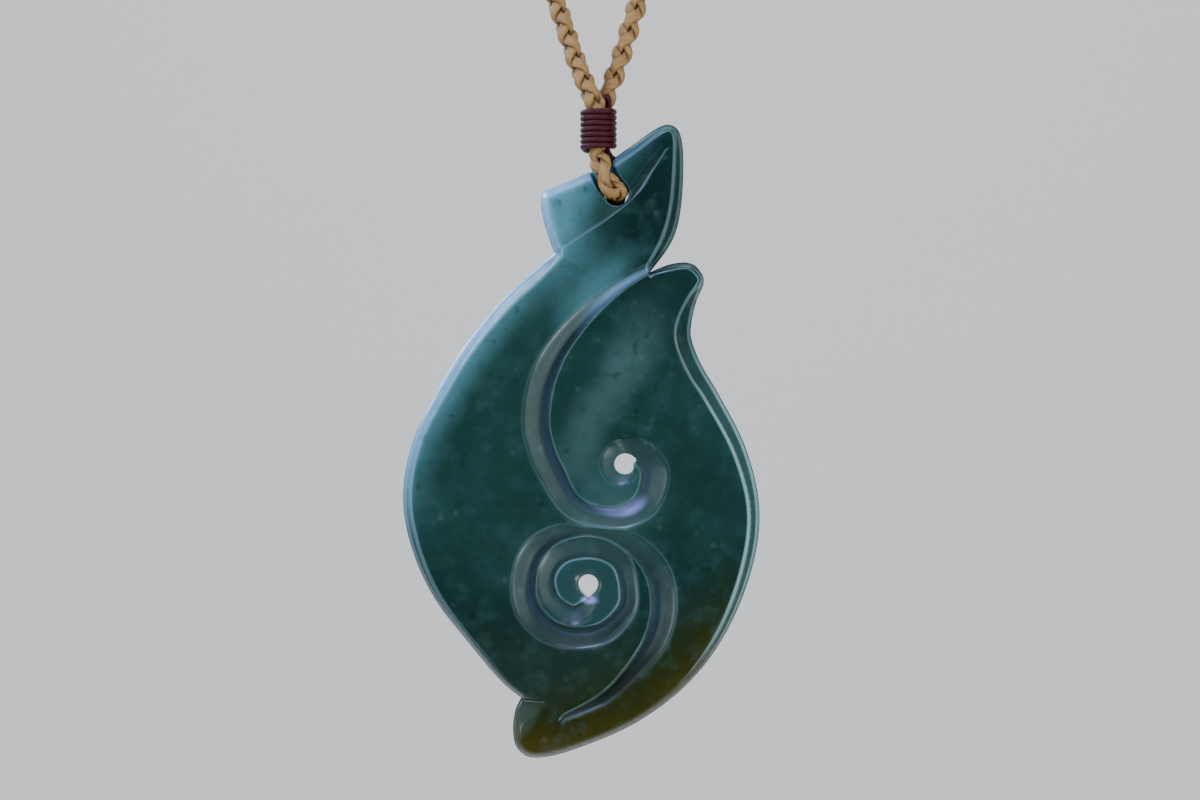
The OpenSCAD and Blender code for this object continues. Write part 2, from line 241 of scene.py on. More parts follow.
RIDGE = respace(smooth_run(on_stone(FOOT_RIDGE)), LINE_GAP)
LEDGE_LINE = respace(on_stone(LEDGE), LINE_GAP)
print({name: len(line) for name, line in LINES.items()})

# %% [markdown]
# ## The cord's way through the stone
# The cord presses into a small worn saddle above the hole, front and back. The saddle is cut
# along the route that the cord follows later, and a little wider than the cord. Where the plait
# bulges as it turns through the hole, it touches the wall.

# %% The cord's points near the stone, from the top of the front binding
TIE = np.array([
    (-4.2, 2.4, 10.7), (-2.6, 0.6, 5.6), (-1.1, -0.85, 1.6), (-0.15, -1.15, 0.2), (-0.1, -1.15, -1.2),
    (-0.1, -1.15, -4.6), (0.15, -1.8, -5.8), (0.6, -2.6, -7.2), (1.25, -2.55, -8.3), (1.84, -1.3, -8.9),
    (1.84, 0, -8.95), (1.84, 1.3, -8.9), (1.25, 2.55, -8.3), (0.6, 2.6, -7.2), (0.15, 1.8, -5.8),
    (0.1, 1.15, -4.6), (0.1, 1.15, -1.2), (0.15, 1.15, 0.2), (1.0, 1.5, 1.6), (2.4, 2.9, 5.6),
    (3.8, 4.7, 10.7),
])
TIE_BED, BED_STEPS = slice(5, 16), 14
BED = TIE_TOP + smooth_run(TIE[TIE_BED], BED_STEPS)
BED_RADIUS = 1.2
print("places along the saddle:", len(BED))

# %% [markdown]
# ## How deep the face lies at a place
# The carved face is a height over the plan, as it is for the carver who only ever cuts down from
# the flat slab. Each tool has its own depth, and the deepest one wins. Every tool needs distances
# to its line, so a line is walked stretch by stretch and only the points near it are looked at.

# %% Distances to a line on the plan
ABREAST, ABREAST_SLACK = 0.85, 0.01


def along_line(points, line, within):
    """Walks a line and yields, for the points near each short stretch, their rows, the distance to
    it, whether they lie to the right of travel, whether they lie abreast of the stretch, and the
    stretch's other columns at that place."""
    for start, stop in zip(line[:-1], line[1:]):
        middle, run = (start[:2] + stop[:2]) / 2, stop[:2] - start[:2]
        near_x = abs(points[:, 0] - middle[0]) < within
        near_z = abs(points[:, 1] - middle[1]) < within
        near = np.nonzero(near_x & near_z)[0]
        if len(near) == 0:
            continue
        rel = points[near] - start[:2]
        share = rel @ run / (run @ run)
        held = np.clip(share, 0, 1)
        off = rel - held[:, None] * run
        distance = np.hypot(off[:, 0], off[:, 1])
        right = rel[:, 0] * run[1] - rel[:, 1] * run[0] > 0
        past_end = abs(share - held) * np.linalg.norm(run)
        abreast = past_end <= ABREAST * distance + ABREAST_SLACK
        yield near, distance, right, abreast, start[2:] + np.outer(held, stop[2:] - start[2:])


def nearest(points, line, within):
    """The distance to a line, capped at within, and the line's other columns at the nearest place."""
    best = np.full(len(points), float(within))
    rest = np.zeros((len(points), line.shape[1] - 2))
    for near, distance, _, _, columns in along_line(points, line, within):
        closer = distance < best[near]
        best[near[closer]] = distance[closer]
        rest[near[closer]] = columns[closer]
    return best, rest


CLOSED = back_to_start(OUTLINE)
print("outline's length in mm:", round(np.linalg.norm(np.diff(CLOSED[:, :2], axis=0), axis=1).sum(), 1))

# %% [markdown]
# ## The bevel of the edge
# The slab's edge is ground round by hand, wide in some places and narrow in others. The face drops
# faster and faster towards the outline. Two short tables give that drop against the share of the
# bevel's own reach, so one profile serves the whole way round.

# %% The bevel
BEVEL_SHARE = np.array([0, 0.04, 0.10, 0.20, 0.35, 0.55, 0.75, 0.88, 0.95, 1.0, 1.06, 1.14])
BEVEL_DROP = np.array([1.9, 1.5, 1.26, 1.02, 0.80, 0.54, 0.285, 0.13, 0.06, 0.025, 0.007, 0])
BEVEL_LOOK, LEAST_REACH = 2.2, 0.3


def bevel_depth(points):
    distance, reach = nearest(points, CLOSED, BEVEL_LOOK)
    return np.interp(distance / np.maximum(reach[:, 0], LEAST_REACH), BEVEL_SHARE, BEVEL_DROP)


print("drop of the bevel at the outline in mm:", BEVEL_DROP[0])

# %% [markdown]
# ## The scoops beside the lines
# A round burr leaves a steep wall on the line and a hollow that rises slowly again. A narrow scoop
# is a plain rolled slope instead, so from one width down the two profiles are blended.

# %% The scoops
SCOOP_SHARE = np.array([0, 0.06, 0.15, 0.28, 0.40, 0.52, 0.64, 0.76, 0.87, 0.95, 1.02, 1.08])
SCOOP_DEPTH = np.array([0.96, 1.0, 0.985, 0.93, 0.82, 0.68, 0.51, 0.33, 0.17, 0.07, 0.015, 0])
ROLL_SHARE = np.array([0, 0.3, 0.5, 0.7, 0.85, 1.0, 1.15])
ROLL_DEPTH = np.array([1, 0.74, 0.53, 0.30, 0.13, 0.03, 0])
ROLL_FROM, ROLL_OVER = 2.0, 0.8
WALL, SCOOP_LOOK = 0.05, 3.2


def scoop_depth(points, line):
    deepest = np.zeros(len(points))
    for near, distance, right, abreast, columns in along_line(points, line, SCOOP_LOOK):
        width, depth = columns.T
        hollow = np.interp(distance / width, SCOOP_SHARE, SCOOP_DEPTH)
        rolled_off = np.interp(distance / width, ROLL_SHARE, ROLL_DEPTH)
        narrow = np.clip((ROLL_FROM - width) / ROLL_OVER, 0, 1)
        cut = depth * (hollow + (rolled_off - hollow) * narrow) * np.minimum(distance / WALL, 1)
        deepest[near] = np.maximum(deepest[near], np.where(right & abreast, cut, 0))
    return deepest


print("widest scoop in mm:", max(line[:, 2].max() for line in LINES.values()).round(2))

# %% [markdown]
# ## The ground foot
# The foot is ground back flat from a ridge, as the point of a real hook is thinned. The ground
# side falls at an even slope from the ridge and ends at a short ledge above.

# %% The foot
FOOT_LOOK, PAST_RIDGE = 6, 0.3


def foot_depth(points):
    ledge = np.interp(points[:, 0], LEDGE_LINE[::-1, 0], LEDGE_LINE[::-1, 1])
    deepest = np.zeros(len(points))
    best = np.full(len(points), np.inf)
    for near, distance, right, _, _ in along_line(points, RIDGE, FOOT_LOOK):
        closer = distance < best[near]
        rows = near[closer]
        best[rows] = distance[closer]
        deepest[rows] = np.where(right[closer], FOOT_SLOPE * distance[closer], 0)
    below = np.clip((ledge - points[:, 1]) / WALL, 0, 1)
    return deepest * below * (points[:, 0] < RIDGE[0, 0] + PAST_RIDGE)


print("slope of the foot in degrees:", round(math.degrees(math.atan(FOOT_SLOPE)), 1))

# %% [markdown]
# ## The worn saddle and the funnel
# Years of wear let the cord into the stone above its hole, on both faces, so the saddle is the
# cord's own round swept along its route. The innermost coil leaves a shallow funnel round the
# lower eye.

# %% The saddle and the funnel
SADDLE_DEEPEST = 2.4
FUNNEL_DEPTH, FUNNEL_REACH, FUNNEL_LOOK = 0.32, 1.2, 1.5


def saddle_depth(points, face, inward):
    deepest = np.zeros(len(points))
    for x, y, z in BED:
        off = (points[:, 0] - x) ** 2 + (points[:, 1] - z) ** 2
        under = off < BED_RADIUS ** 2
        depth = (y - face) * inward + np.sqrt(BED_RADIUS ** 2 - off[under])
        deepest[under] = np.maximum(deepest[under], np.minimum(depth, SADDLE_DEEPEST))
    return deepest


def funnel_depth(points):
    distance, _ = nearest(points, back_to_start(lower_eye), FUNNEL_LOOK)
    return FUNNEL_DEPTH * np.clip(1 - distance / FUNNEL_REACH, 0, 1) ** 2


print("saddle's depth at the hole in mm:", saddle_depth(HOLE_CENTRE[None], FRONT, 1).round(2))

# %% [markdown]
# ## Polish
# Polishing rounds every arris a little. The height is averaged over a small disc, which does the
# same. A wider disc tells how far each place stands proud of what is round it, and the colours use
# that later for the worn, pale arrises with their painted highlights, and for the painted shade in
# the hollows beside them.

# %% The polished faces
POLISH, WORN_WIDE = 0.13, 0.20
SOFT_MIDDLE, SOFT_REACH = np.array([EYE_X + 0.6, EYE_Z + 2.0]), 2.4
INNER_RING, OUTER_RING = 6, 8


def face_depth(points):
    cuts = [bevel_depth(points), foot_depth(points), saddle_depth(points, FRONT, 1), funnel_depth(points)]
    cuts += [scoop_depth(points, line) for line in LINES.values()]
    return np.max(cuts, axis=0)


def disc(radius):
    """Offsets on two rings that fill a small disc."""
    return [
        (ring * math.cos(angle), ring * math.sin(angle))
        for ring, count in ((radius / 2, INNER_RING), (radius, OUTER_RING))
        for angle in np.arange(count) * 2 * math.pi / count
    ]


def polished_depth(points):
    """The averaged depth, and how far each place stands proud of its wider surroundings. Above the
    upper eye the wider average is used for the depth too, because the scoop fades out there."""
    sharp = face_depth(points)
    near, wide = (
        np.mean([sharp] + [face_depth(points + offset) for offset in disc(radius)], axis=0)
        for radius in (POLISH, WORN_WIDE)
    )
    soft = np.clip(SOFT_REACH - np.linalg.norm(points - SOFT_MIDDLE, axis=1), 0, 1)
    return near + (wide - near) * soft, wide - sharp


def back_depth(points):
    """The plain back has no carving: the bevel and the saddle only."""
    return np.maximum(bevel_depth(points), saddle_depth(points, BACK, -1)), np.zeros(len(points))


print("places averaged for each point:", 1 + len(disc(POLISH)))

# %% [markdown]
# ## A mesh that follows the carving
# A regular grid would leave steps along the curved arrises. The points are laid in rows beside
# each carved line and inside the outline instead, and loosely elsewhere. Blender's own Delaunay
# filling joins them into a flat sheet with the holes left open, and the depths then shape it.

# %% Lay points on the plan
class Plan:
    """Points on the plan, each laid only where no earlier one lies closer than its gap."""
    CELL = 0.1

    def __init__(self):
        self.points, self.edges, self.cells = [], [], {}

    def cell(self, x, z):
        return int(x // self.CELL), int(z // self.CELL)

    def taken(self, x, z, gap):
        """Whether an earlier point lies closer than the gap."""
        column, row = self.cell(x, z)
        reach = math.ceil(gap / self.CELL)
        return any(
            (self.points[k][0] - x) ** 2 + (self.points[k][1] - z) ** 2 < gap * gap
            for i in range(column - reach, column + reach + 1)
            for j in range(row - reach, row + reach + 1)
            for k in self.cells.get((i, j), ())
        )

    def lay(self, rows, gap, joined=False, closed=False):
        first = before = None
        for x, z in np.asarray(rows)[:, :2].tolist():
            if gap and self.taken(x, z, gap):
                before = None
                continue
            here = len(self.points)
            self.points.append((x, z))
            self.cells.setdefault(self.cell(x, z), []).append(here)
            if joined and before is not None:
                self.edges.append((before, here))
            first = here if first is None else first
            before = here
        if closed:
            self.edges.append((before, first))


# %% [markdown]
# ## Rows that follow a line or a hole
# The finest detail runs along the lines, so the rows of points do too. A row too near the outline
# or a hole is dropped there, because those loops carry their own points.

# %% Rows beside lines, round holes and inside the outline
def normals_right(line, closed=False):
    """Directions to the right of travel along a line on the plan."""
    if closed:
        ahead = np.roll(line[:, :2], -1, axis=0) - np.roll(line[:, :2], 1, axis=0)
    else:
        ahead = np.gradient(line[:, :2], axis=0)
    ahead /= np.linalg.norm(ahead, axis=1, keepdims=True)
    return np.column_stack([ahead[:, 1], -ahead[:, 0]])


INSET_LOOK, NOT_CROSSED = 3, 0.93


def inset_rows(plan, shares, gap):
    """Rows of points inside the outline, at shares of the bevel's reach."""
    inward = normals_right(OUTLINE, closed=True)
    for share in shares:
        offset = share * OUTLINE[:, 2:3]
        row = OUTLINE[:, :2] + inward * offset
        distance, _ = nearest(row, CLOSED, INSET_LOOK)
        plan.lay(row[distance > NOT_CROSSED * offset[:, 0]], gap)


def clear_of_edges(rows, margin):
    """Those rows that lie on the stone, at least margin from its outline and its holes."""
    rows = rows[inside(rows, OUTLINE)]
    for loop in [CLOSED, *map(back_to_start, HOLES)]:
        rows = rows[nearest(rows[:, :2], loop, 1)[0] > margin]
    for hole in HOLES:
        rows = rows[~inside(rows, hole)]
    return rows


ROW_SHARE = 0.866


def inside(points, loop):
    """Which points lie inside a closed loop."""
    odd = np.zeros(len(points), bool)
    x, z = points[:, 0], points[:, 1]
    for (x0, z0), (x1, z1) in zip(loop[:, :2], np.roll(loop[:, :2], -1, axis=0)):
        if z0 == z1:
            continue
        crosses = (z0 > z) != (z1 > z)
        odd ^= crosses & (x < x0 + (z - z0) * (x1 - x0) / (z1 - z0))
    return odd


def hex_grid(gap, low, high):
    """A grid whose rows are shifted by half a gap in turn, for nearly even triangles."""
    xs = np.arange(low[0], high[0], gap)
    zs = np.arange(low[1], high[1], gap * ROW_SHARE)
    return np.array([(x + (gap / 2 if j % 2 else 0), z) for j, z in enumerate(zs) for x in xs])


def rings_round(hole, offsets):
    """Loops round a hole, at offsets out from its rim."""
    centre = hole.mean(axis=0)
    out = (hole - centre) / np.linalg.norm(hole - centre, axis=1, keepdims=True)
    return [hole + out * offset for offset in offsets]


PLAN_LOW = OUTLINE[:, :2].min(axis=0)
PLAN_HIGH = OUTLINE[:, :2].max(axis=0)
print("plan in mm:", (PLAN_HIGH - PLAN_LOW).round(2))

# %% [markdown]
# ## The front's points
# The rows lie closest where the height changes fastest: over the step on each line, and over the
# bevel. The scoops and the saddle come next, and the flat parts get a loose grid last.

# %% Lay the front
STEP_ROWS = (-0.29, -0.21, -0.15, -0.105, -0.07, -0.035, 0.0, 0.035, 0.07, 0.105, 0.15, 0.22)
SCOOP_ROWS = (0.20, 0.32, 0.45, 0.56, 0.64, 0.72, 0.80, 0.87, 0.93, 0.98, 1.03, 1.09)
INSET_SHARES = (0.04, 0.10, 0.18, 0.28, 0.40, 0.52, 0.64, 0.75, 0.83, 0.89, 0.94, 0.985, 1.03, 1.09, 1.2)
WIDE_SHARES = (1.36, 1.56)
FRONT_RINGS = (0.05, 0.11, 0.18, 0.28, 0.40, 0.52, 0.66, 0.82, 1.0)
STEP_GAP, RING_GAP, INSET_GAP, WIDE_GAP, SCOOP_GAP = 0.028, 0.05, 0.045, 0.09, 0.08
SADDLE_HALF = 3

front_plan = Plan()
front_plan.lay(OUTLINE, 0, joined=True, closed=True)
for hole in HOLES:
    front_plan.lay(hole, 0, joined=True, closed=True)
for line in [*LINES.values(), LEDGE_LINE, RIDGE]:
    right = normals_right(line)
    for offset in STEP_ROWS:
        front_plan.lay(clear_of_edges(line[:, :2] + right * offset, 0.035), STEP_GAP)
for hole in HOLES:
    for ring in rings_round(hole, FRONT_RINGS):
        front_plan.lay(clear_of_edges(ring, 0.04), RING_GAP)
inset_rows(front_plan, INSET_SHARES, INSET_GAP)
inset_rows(front_plan, WIDE_SHARES, WIDE_GAP)
for line in LINES.values():
    right = normals_right(line)
    for share in SCOOP_ROWS:
        front_plan.lay(clear_of_edges(line[:, :2] + right * line[:, 2:3] * share, 0.06), SCOOP_GAP)
saddle_middle = BED[:, [0, 2]].mean(axis=0)
saddle_box = saddle_middle - SADDLE_HALF, saddle_middle + SADDLE_HALF
front_plan.lay(clear_of_edges(hex_grid(0.16, *saddle_box), 0.07), 0.09)
front_plan.lay(clear_of_edges(hex_grid(0.42, PLAN_LOW, PLAN_HIGH), 0.3), 0.26)
print("points on the front:", len(front_plan.points))

# %% [markdown]
# ## The back's points
# The back is plain, so it needs rows only over the bevel, round the holes and in the saddle. It
# shares the front's outline and hole loops, point for point.

# %% Lay the back
BACK_RINGS = (0.05, 0.11, 0.18, 0.28, 0.42, 0.7)
BACK_RING_GAP = 0.04
back_plan = Plan()
back_plan.lay(OUTLINE, 0, joined=True, closed=True)
for hole in HOLES:
    back_plan.lay(hole, 0, joined=True, closed=True)
    for ring in rings_round(hole, BACK_RINGS):
        back_plan.lay(ring, BACK_RING_GAP)
inset_rows(back_plan, INSET_SHARES, INSET_GAP)
back_plan.lay(clear_of_edges(hex_grid(0.2, *saddle_box), 0.07), 0.12)
back_plan.lay(clear_of_edges(hex_grid(0.9, PLAN_LOW, PLAN_HIGH), 0.3), 0.5)
print("points on the back:", len(back_plan.points))

# %% [markdown]
# ## Fill, shape and close the slab
# Both sheets share the same outline and hole loops, so each pair of loops is bridged with one band
# of faces: the sawn edge, and the wall of each hole.

# %% The filled sheets
RIM, RIM_LOOK = 0.14, 1
EDGE_LOOK, ON_LOOP = 12, 0.01
LAYERS = ("from_edge", "carved", "arris")


def rim_depth(points):
    """The small round at the mouth of each hole."""
    deepest = np.zeros(len(points))
    for hole in HOLES:
        distance, _ = nearest(points, back_to_start(hole), RIM_LOOK)
        in_rim = distance < RIM
        deepest[in_rim] = RIM - np.sqrt(np.maximum(0, RIM ** 2 - (RIM - distance[in_rim]) ** 2))
    return deepest


def fill_sheet(bm, plan, face, inward, depth_of):
    """Fills a plan and lifts it to the face; returns its boundary edges."""
    flat = [Vector(p) for p in plan.points]
    verts, _, faces, *_ = delaunay_2d_cdt(flat, plan.edges, [], 1, 1e-6)
    places = np.array([tuple(v) for v in verts])
    depths, lowered = depth_of(places)
    heights = face + inward * (depths + rim_depth(places))
    layers = [bm.verts.layers.float.get(name) or bm.verts.layers.float.new(name) for name in LAYERS]
    made = [bm.verts.new((x, y, z)) for (x, z), y in zip(places.tolist(), heights.tolist())]
    from_edge, _ = nearest(places, CLOSED, EDGE_LOOK)
    carved = np.max([scoop_depth(places, line) for line in LINES.values()], axis=0) * (inward > 0)
    for vert, *values in zip(made, from_edge.tolist(), carved.tolist(), lowered.tolist()):
        for layer, value in zip(layers, values):
            vert[layer] = value
    corners = np.array([list(f) for f in faces])
    middles = places[corners].mean(axis=1)
    kept = ~np.any([inside(middles, hole) for hole in HOLES], axis=0)
    turned = corners[kept] if inward > 0 else corners[kept][:, ::-1]
    sheet = [bm.faces.new([made[k] for k in triangle]) for triangle in turned.tolist()]
    return [e for f in sheet for e in f.edges if len(e.link_faces) == 1]


def on_loop(edges, loop):
    """Those edges whose two ends lie on a loop of the plan."""
    ends = np.array([[(v.co.x, v.co.z) for v in e.verts] for e in edges]).reshape(-1, 2)
    distance, _ = nearest(ends, back_to_start(loop[:, :2]), 0.5)
    return [edge for edge, far in zip(edges, distance.reshape(-1, 2).max(axis=1)) if far < ON_LOOP]


# %% [markdown]
# ## Front, back and the bands between
# The two sheets are lifted to their faces first. Then each loop of the front is bridged to the
# same loop of the back. The rungs of the outline's band are cut twice, so it can shade as a curve.

# %% The closed stone
THROUGH, RUNG_CUTS = 0.3, 2
stone_bm = bmesh.new()
front_edges = fill_sheet(stone_bm, front_plan, FRONT, 1, polished_depth)
back_edges = fill_sheet(stone_bm, back_plan, BACK, -1, back_depth)
for loop in [OUTLINE, *HOLES]:
    pair = on_loop(front_edges, loop) + on_loop(back_edges, loop)
    band = bmesh.ops.bridge_loops(stone_bm, edges=pair)["faces"]
    rungs = {e for f in band for e in f.edges if abs(e.verts[0].co.y - e.verts[1].co.y) > THROUGH}
    bmesh.ops.subdivide_edges(stone_bm, edges=list(rungs), cuts=RUNG_CUTS)
bmesh.ops.recalc_face_normals(stone_bm, faces=stone_bm.faces[:])
open_edges = sum(len(e.link_faces) != 2 for e in stone_bm.edges)
print("stone faces:", len(stone_bm.faces), "open edges:", open_edges)

# %% [markdown]
# ## From a mesh to a piece
# Every piece is finished the same way: scaled to metres, smoothed, given its material, and told
# which body it rides with. The plain solid that it stands for is hidden.

# %% Finish a mesh as a piece of the pendant
def finished(bm, name, material, *nodes):
    """The mesh in metres as a smooth object that rides with the pendant and stands for its nodes."""
    bmesh.ops.scale(bm, vec=(MM, MM, MM), verts=bm.verts[:])
    mesh = bpy.data.meshes.new(name)
    bm.to_mesh(mesh)
    bm.free()
    mesh.shade_smooth()
    piece = bpy.data.objects.new(name, mesh)
    bpy.context.collection.objects.link(piece)
    mesh.materials.append(material)
    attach(piece, "root")
    if nodes:
        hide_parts(*nodes)
    print(name, "triangles:", sum(len(p.vertices) - 2 for p in mesh.polygons))
    return piece

# %% [markdown]
# ## The neck cord
# The cord is a round plait of four waxed strands. Two of them wind to the left and two to the
# right, and at each crossing one pair passes over the other, in turn. Each strand is modelled as
# one flattened tube on its own winding path, because no texture can stand in for gaps and shade.
# A sheet from a grid is rolled round the path, so it keeps its own UV map for the fibres.

# %% The cord's route, in millimetres
LOOP_W, LOOP_REACH, LOOP_DROP, NAPE_Z = 105.0, 150.0, 215.0, 1.8
LOOP_SIDE = np.array([
    (0.12, 0.000, 0.000), (0.35, 0.020, 0.012), (0.65, 0.080, 0.047), (0.87, 0.160, 0.100),
    (0.985, 0.240, 0.165), (0.985, 0.320, 0.234), (0.90, 0.425, 0.320), (0.73, 0.565, 0.460),
    (0.52, 0.730, 0.630), (0.31, 0.870, 0.800),
])
ROUTE_STEPS, ROUTE_GAP, JOIN_HALF = 16, 0.1, 0.1
tie = TIE_TOP + smooth_run(TIE, ROUTE_STEPS)


def leg(sign, end):
    """One side of the loop, from just beside the nape to the tied stretch."""
    side = LOOP_SIDE * (sign * LOOP_W / 2, -LOOP_REACH, -LOOP_DROP) + (0, 0, NAPE_Z)
    return smooth_run(np.vstack([side, end]), ROUTE_STEPS)[:-1]


left, right = leg(-1, tie[0]), leg(1, tie[-1])
ends = [(-JOIN_HALF, 0, NAPE_Z)], [(JOIN_HALF, 0, NAPE_Z)]
route = respace(np.vstack([ends[0], left, tie, right[::-1], ends[1]]), ROUTE_GAP, 3)
print("route in mm:", round((len(route) - 1) * ROUTE_GAP, 1))

# %% [markdown]
# ## Ease the route
# A waxed cord doesn't kink at the places where it was drawn. The route is averaged over a few
# millimetres, but not near the stone, where it has to meet its saddle, and not at its two ends.

# %% Average the free stretches
HELD_NEAR, HELD_FADE, HELD_ENDS, EASE_HALF = 6, 4, 60, 30


def softened(rows, half, share):
    """Rows averaged over their neighbours, by the given share at each of them."""
    window = np.ones(2 * half + 1) / (2 * half + 1)
    padded = np.pad(rows, ((half, half), (0, 0)), mode="edge")
    mean = np.column_stack([np.convolve(column, window, "valid") for column in padded.T])
    return rows + (mean - rows) * share[:, None]


from_stone = np.linalg.norm(route - BED.mean(axis=0), axis=1)
from_middle = abs(np.arange(len(route)) - len(route) / 2)
free = np.clip((from_stone - HELD_NEAR) / HELD_FADE, 0, 1) * (from_middle < len(route) / 2 - HELD_ENDS)
route = softened(route, EASE_HALF, free)
print("share of the route that is eased:", free.mean().round(2))

# %% [markdown]
# ## Directions that travel with the cord
# The strands wind round the route, so each place on it needs two directions square to it. They are
# carried from place to place with as little turning as possible, or the plait would twist.

# %% Carry the directions along
def directions(path):
    ahead = np.gradient(path, axis=0)
    return ahead / np.linalg.norm(ahead, axis=1, keepdims=True)


def carried_frames(path, first):
    """Two directions square to a path at each place, turned as little as possible along it."""
    ahead = directions(path)
    sides = np.empty_like(path)
    side = np.array(first, float)
    for i, t in enumerate(ahead):
        side = side - (side @ t) * t
        side /= np.linalg.norm(side)
        sides[i] = side
    return sides, np.cross(ahead, sides)


SIDE, OVER = carried_frames(route, (0, -1, 0))
ARC = np.arange(len(route)) * ROUTE_GAP
print("cord's length in mm:", round(ARC[-1], 1))

# %% [markdown]
# ## Which strand faces the viewer
# The photo shows the plait's pattern on each leg just above the binding. So the winding is turned
# until the same strands face forward there, and the difference is spread over the rest of the cord.

# %% Where the plait turns towards the viewer
def arc_at(height, from_left):
    """The place along the route where one of its legs has a height above the binding's top."""
    middle = len(route) // 2
    heights = route[:, 2] - TIE_TOP[2]
    rows = slice(0, middle) if from_left else slice(middle, None)
    return ARC[rows][np.argmin(abs(heights[rows] - height))]


def facing_angle(arc):
    """The angle, in the carried frame, of the direction that points away from the wearer."""
    i = int(round(arc / ROUTE_GAP))
    return math.atan2(-OVER[i][1], -SIDE[i][1])


LEGS_HEIGHT, TURN_INSET = 4.6, 8
PLAIT_PITCH, LEFT_TURN = 5.35, 58
LEFT_ARC, RIGHT_ARC = arc_at(LEGS_HEIGHT, True), arc_at(LEGS_HEIGHT, False)
turn = np.interp(ARC, [LEFT_ARC + TURN_INSET, RIGHT_ARC - TURN_INSET],
                 [facing_angle(LEFT_ARC) + math.radians(LEFT_TURN), facing_angle(RIGHT_ARC)])
phase = (ARC - RIGHT_ARC) * 2 * math.pi / PLAIT_PITCH
print("turns of each strand:", round(np.ptp(phase) / (2 * math.pi)))

# %% [markdown]
# ## Strands on their winding paths
# A strand's distance from the middle of the cord swells and shrinks twice a turn, which carries it
# over one neighbour and under the next.

# %% Strand paths
STRAND_MID, STRAND_SWAY = 0.55, 0.27
STRAND_WIDE, STRAND_THICK, STRAND_SIDES = 1.1, 0.6, 12
# The plait is pressed wider where it turns through the hole
SWELL_BY, SWELL_FROM, SWELL_OVER = 0.12, 3.5, 1.5
from_hole = np.linalg.norm(route - BED[len(BED) // 2], axis=1)
SWELL = 1 + SWELL_BY * np.clip((SWELL_FROM - from_hole) / SWELL_OVER, 0, 1)


def strand_path(hand, start):
    """A strand's centre line, and the outward direction at each place of it."""
    angle = hand * phase + start + turn
    radius = STRAND_MID + hand * STRAND_SWAY * np.cos(2 * (angle - turn))
    out = np.cos(angle)[:, None] * SIDE + np.sin(angle)[:, None] * OVER
    return route + out * (radius * SWELL)[:, None], out


SEEN_ABOVE = 10


def stations(gap_near, gap_far):
    """Places along the route, close together where the viewer sees the cord best."""
    near = (ARC > LEFT_ARC - SEEN_ABOVE) & (ARC < RIGHT_ARC + SEEN_ABOVE)
    density = np.where(near, 1 / gap_near, 1 / gap_far)
    count = np.cumsum(density) * ROUTE_GAP
    return np.interp(np.arange(0, count[-1]), count, ARC)


def pick(rows, at):
    """Rows along the route, read off at given places."""
    return np.column_stack([np.interp(at, ARC, column) for column in rows.T])


print("cord's width in the hole, as a share:", SWELL.max())

# %% [markdown]
# ## A sheet rolled round a path
# Strands and threads are all made from one flat grid, rolled up and joined along its seam. A grid
# keeps straight rows, so its UV map runs evenly along the fibres. Each point also remembers how
# deep it lies in the plait, for the shade between strands.

# %% Roll a sheet round a path
BURIED_FROM, BURIED_OVER = 0.85, 0.4


def ellipse(sides, wide, thick):
    angle = np.arange(sides) * 2 * math.pi / sides
    return np.column_stack([np.cos(angle) * wide / 2, np.sin(angle) * thick / 2])


def rolled(bm, path, out, sections, arc, core=None):
    """A grid sheet rolled round a path, with a section of its own at each place: across and
    outward. The UV map holds the share of the way round and the length along, in millimetres."""
    rings, sides = sections.shape[:2]
    ahead = directions(path)
    out = out - np.sum(out * ahead, axis=1, keepdims=True) * ahead
    out /= np.linalg.norm(out, axis=1, keepdims=True)
    across = np.cross(ahead, out)
    places = path[:, None] + sections[..., :1] * across[:, None] + sections[..., 1:] * out[:, None]
    depth = np.zeros((rings, sides))
    if core is not None:
        from_core = np.linalg.norm(places - core[:, None], axis=2)
        depth = np.clip((BURIED_FROM - from_core) / BURIED_OVER, 0, 1)
    uv = bm.loops.layers.uv.verify()
    buried = bm.verts.layers.float.get("buried") or bm.verts.layers.float.new("buried")
    grid = bmesh.ops.create_grid(bm, x_segments=sides, y_segments=rings - 1, size=1)["verts"]
    column = {v: round((v.co.x + 1) / 2 * sides) for v in grid}
    row = {v: round((v.co.y + 1) / 2 * (rings - 1)) for v in grid}
    made = {f for v in grid for f in v.link_faces}
    for face in made:
        for corner in face.loops:
            corner[uv].uv = (column[corner.vert] / sides, arc[row[corner.vert]])
    for v in grid:
        v.co = places[row[v], column[v] % sides]
        v[buried] = depth[row[v], column[v] % sides]
    seam = [v for v in grid if column[v] in (0, sides)]
    ends = [v for v in grid if row[v] in (0, rings - 1)]
    bmesh.ops.remove_doubles(bm, verts=seam, dist=1e-5)
    rims = {e for v in ends if v.is_valid for e in v.link_edges if len(e.link_faces) == 1}
    bmesh.ops.holes_fill(bm, edges=list(rims), sides=0)


print("points round a strand:", len(ellipse(STRAND_SIDES, STRAND_WIDE, STRAND_THICK)))

# %% [markdown]
# ## Plait the cord
# Two strands wind each way, half a turn apart. The rings lie closer together near the pendant,
# where the photo shows the cord from near by.

# %% The four strands
NEAR_GAP, FAR_GAP = 0.13, 0.37
cord_bm = bmesh.new()
at = stations(NEAR_GAP, FAR_GAP)
plain_section = ellipse(STRAND_SIDES, STRAND_WIDE, STRAND_THICK)
sections = plain_section * np.interp(at, ARC, SWELL)[:, None, None]
for hand in (1, -1):
    for start in (0, math.pi):
        path, out = strand_path(hand, start)
        rolled(cord_bm, pick(path, at), pick(out, at), sections, at, pick(route, at))
bmesh.ops.recalc_face_normals(cord_bm, faces=cord_bm.faces[:])
print("rings on each strand:", len(at))

# %% [markdown]
# ## The burgundy bindings
# Each binding is waxed thread, wound tight. The front one goes round the two legs of the cord,
# seven turns, and its ends are tucked under. The thread is twisted from three plies, which its
# section shows: three lobes that turn as they go along.

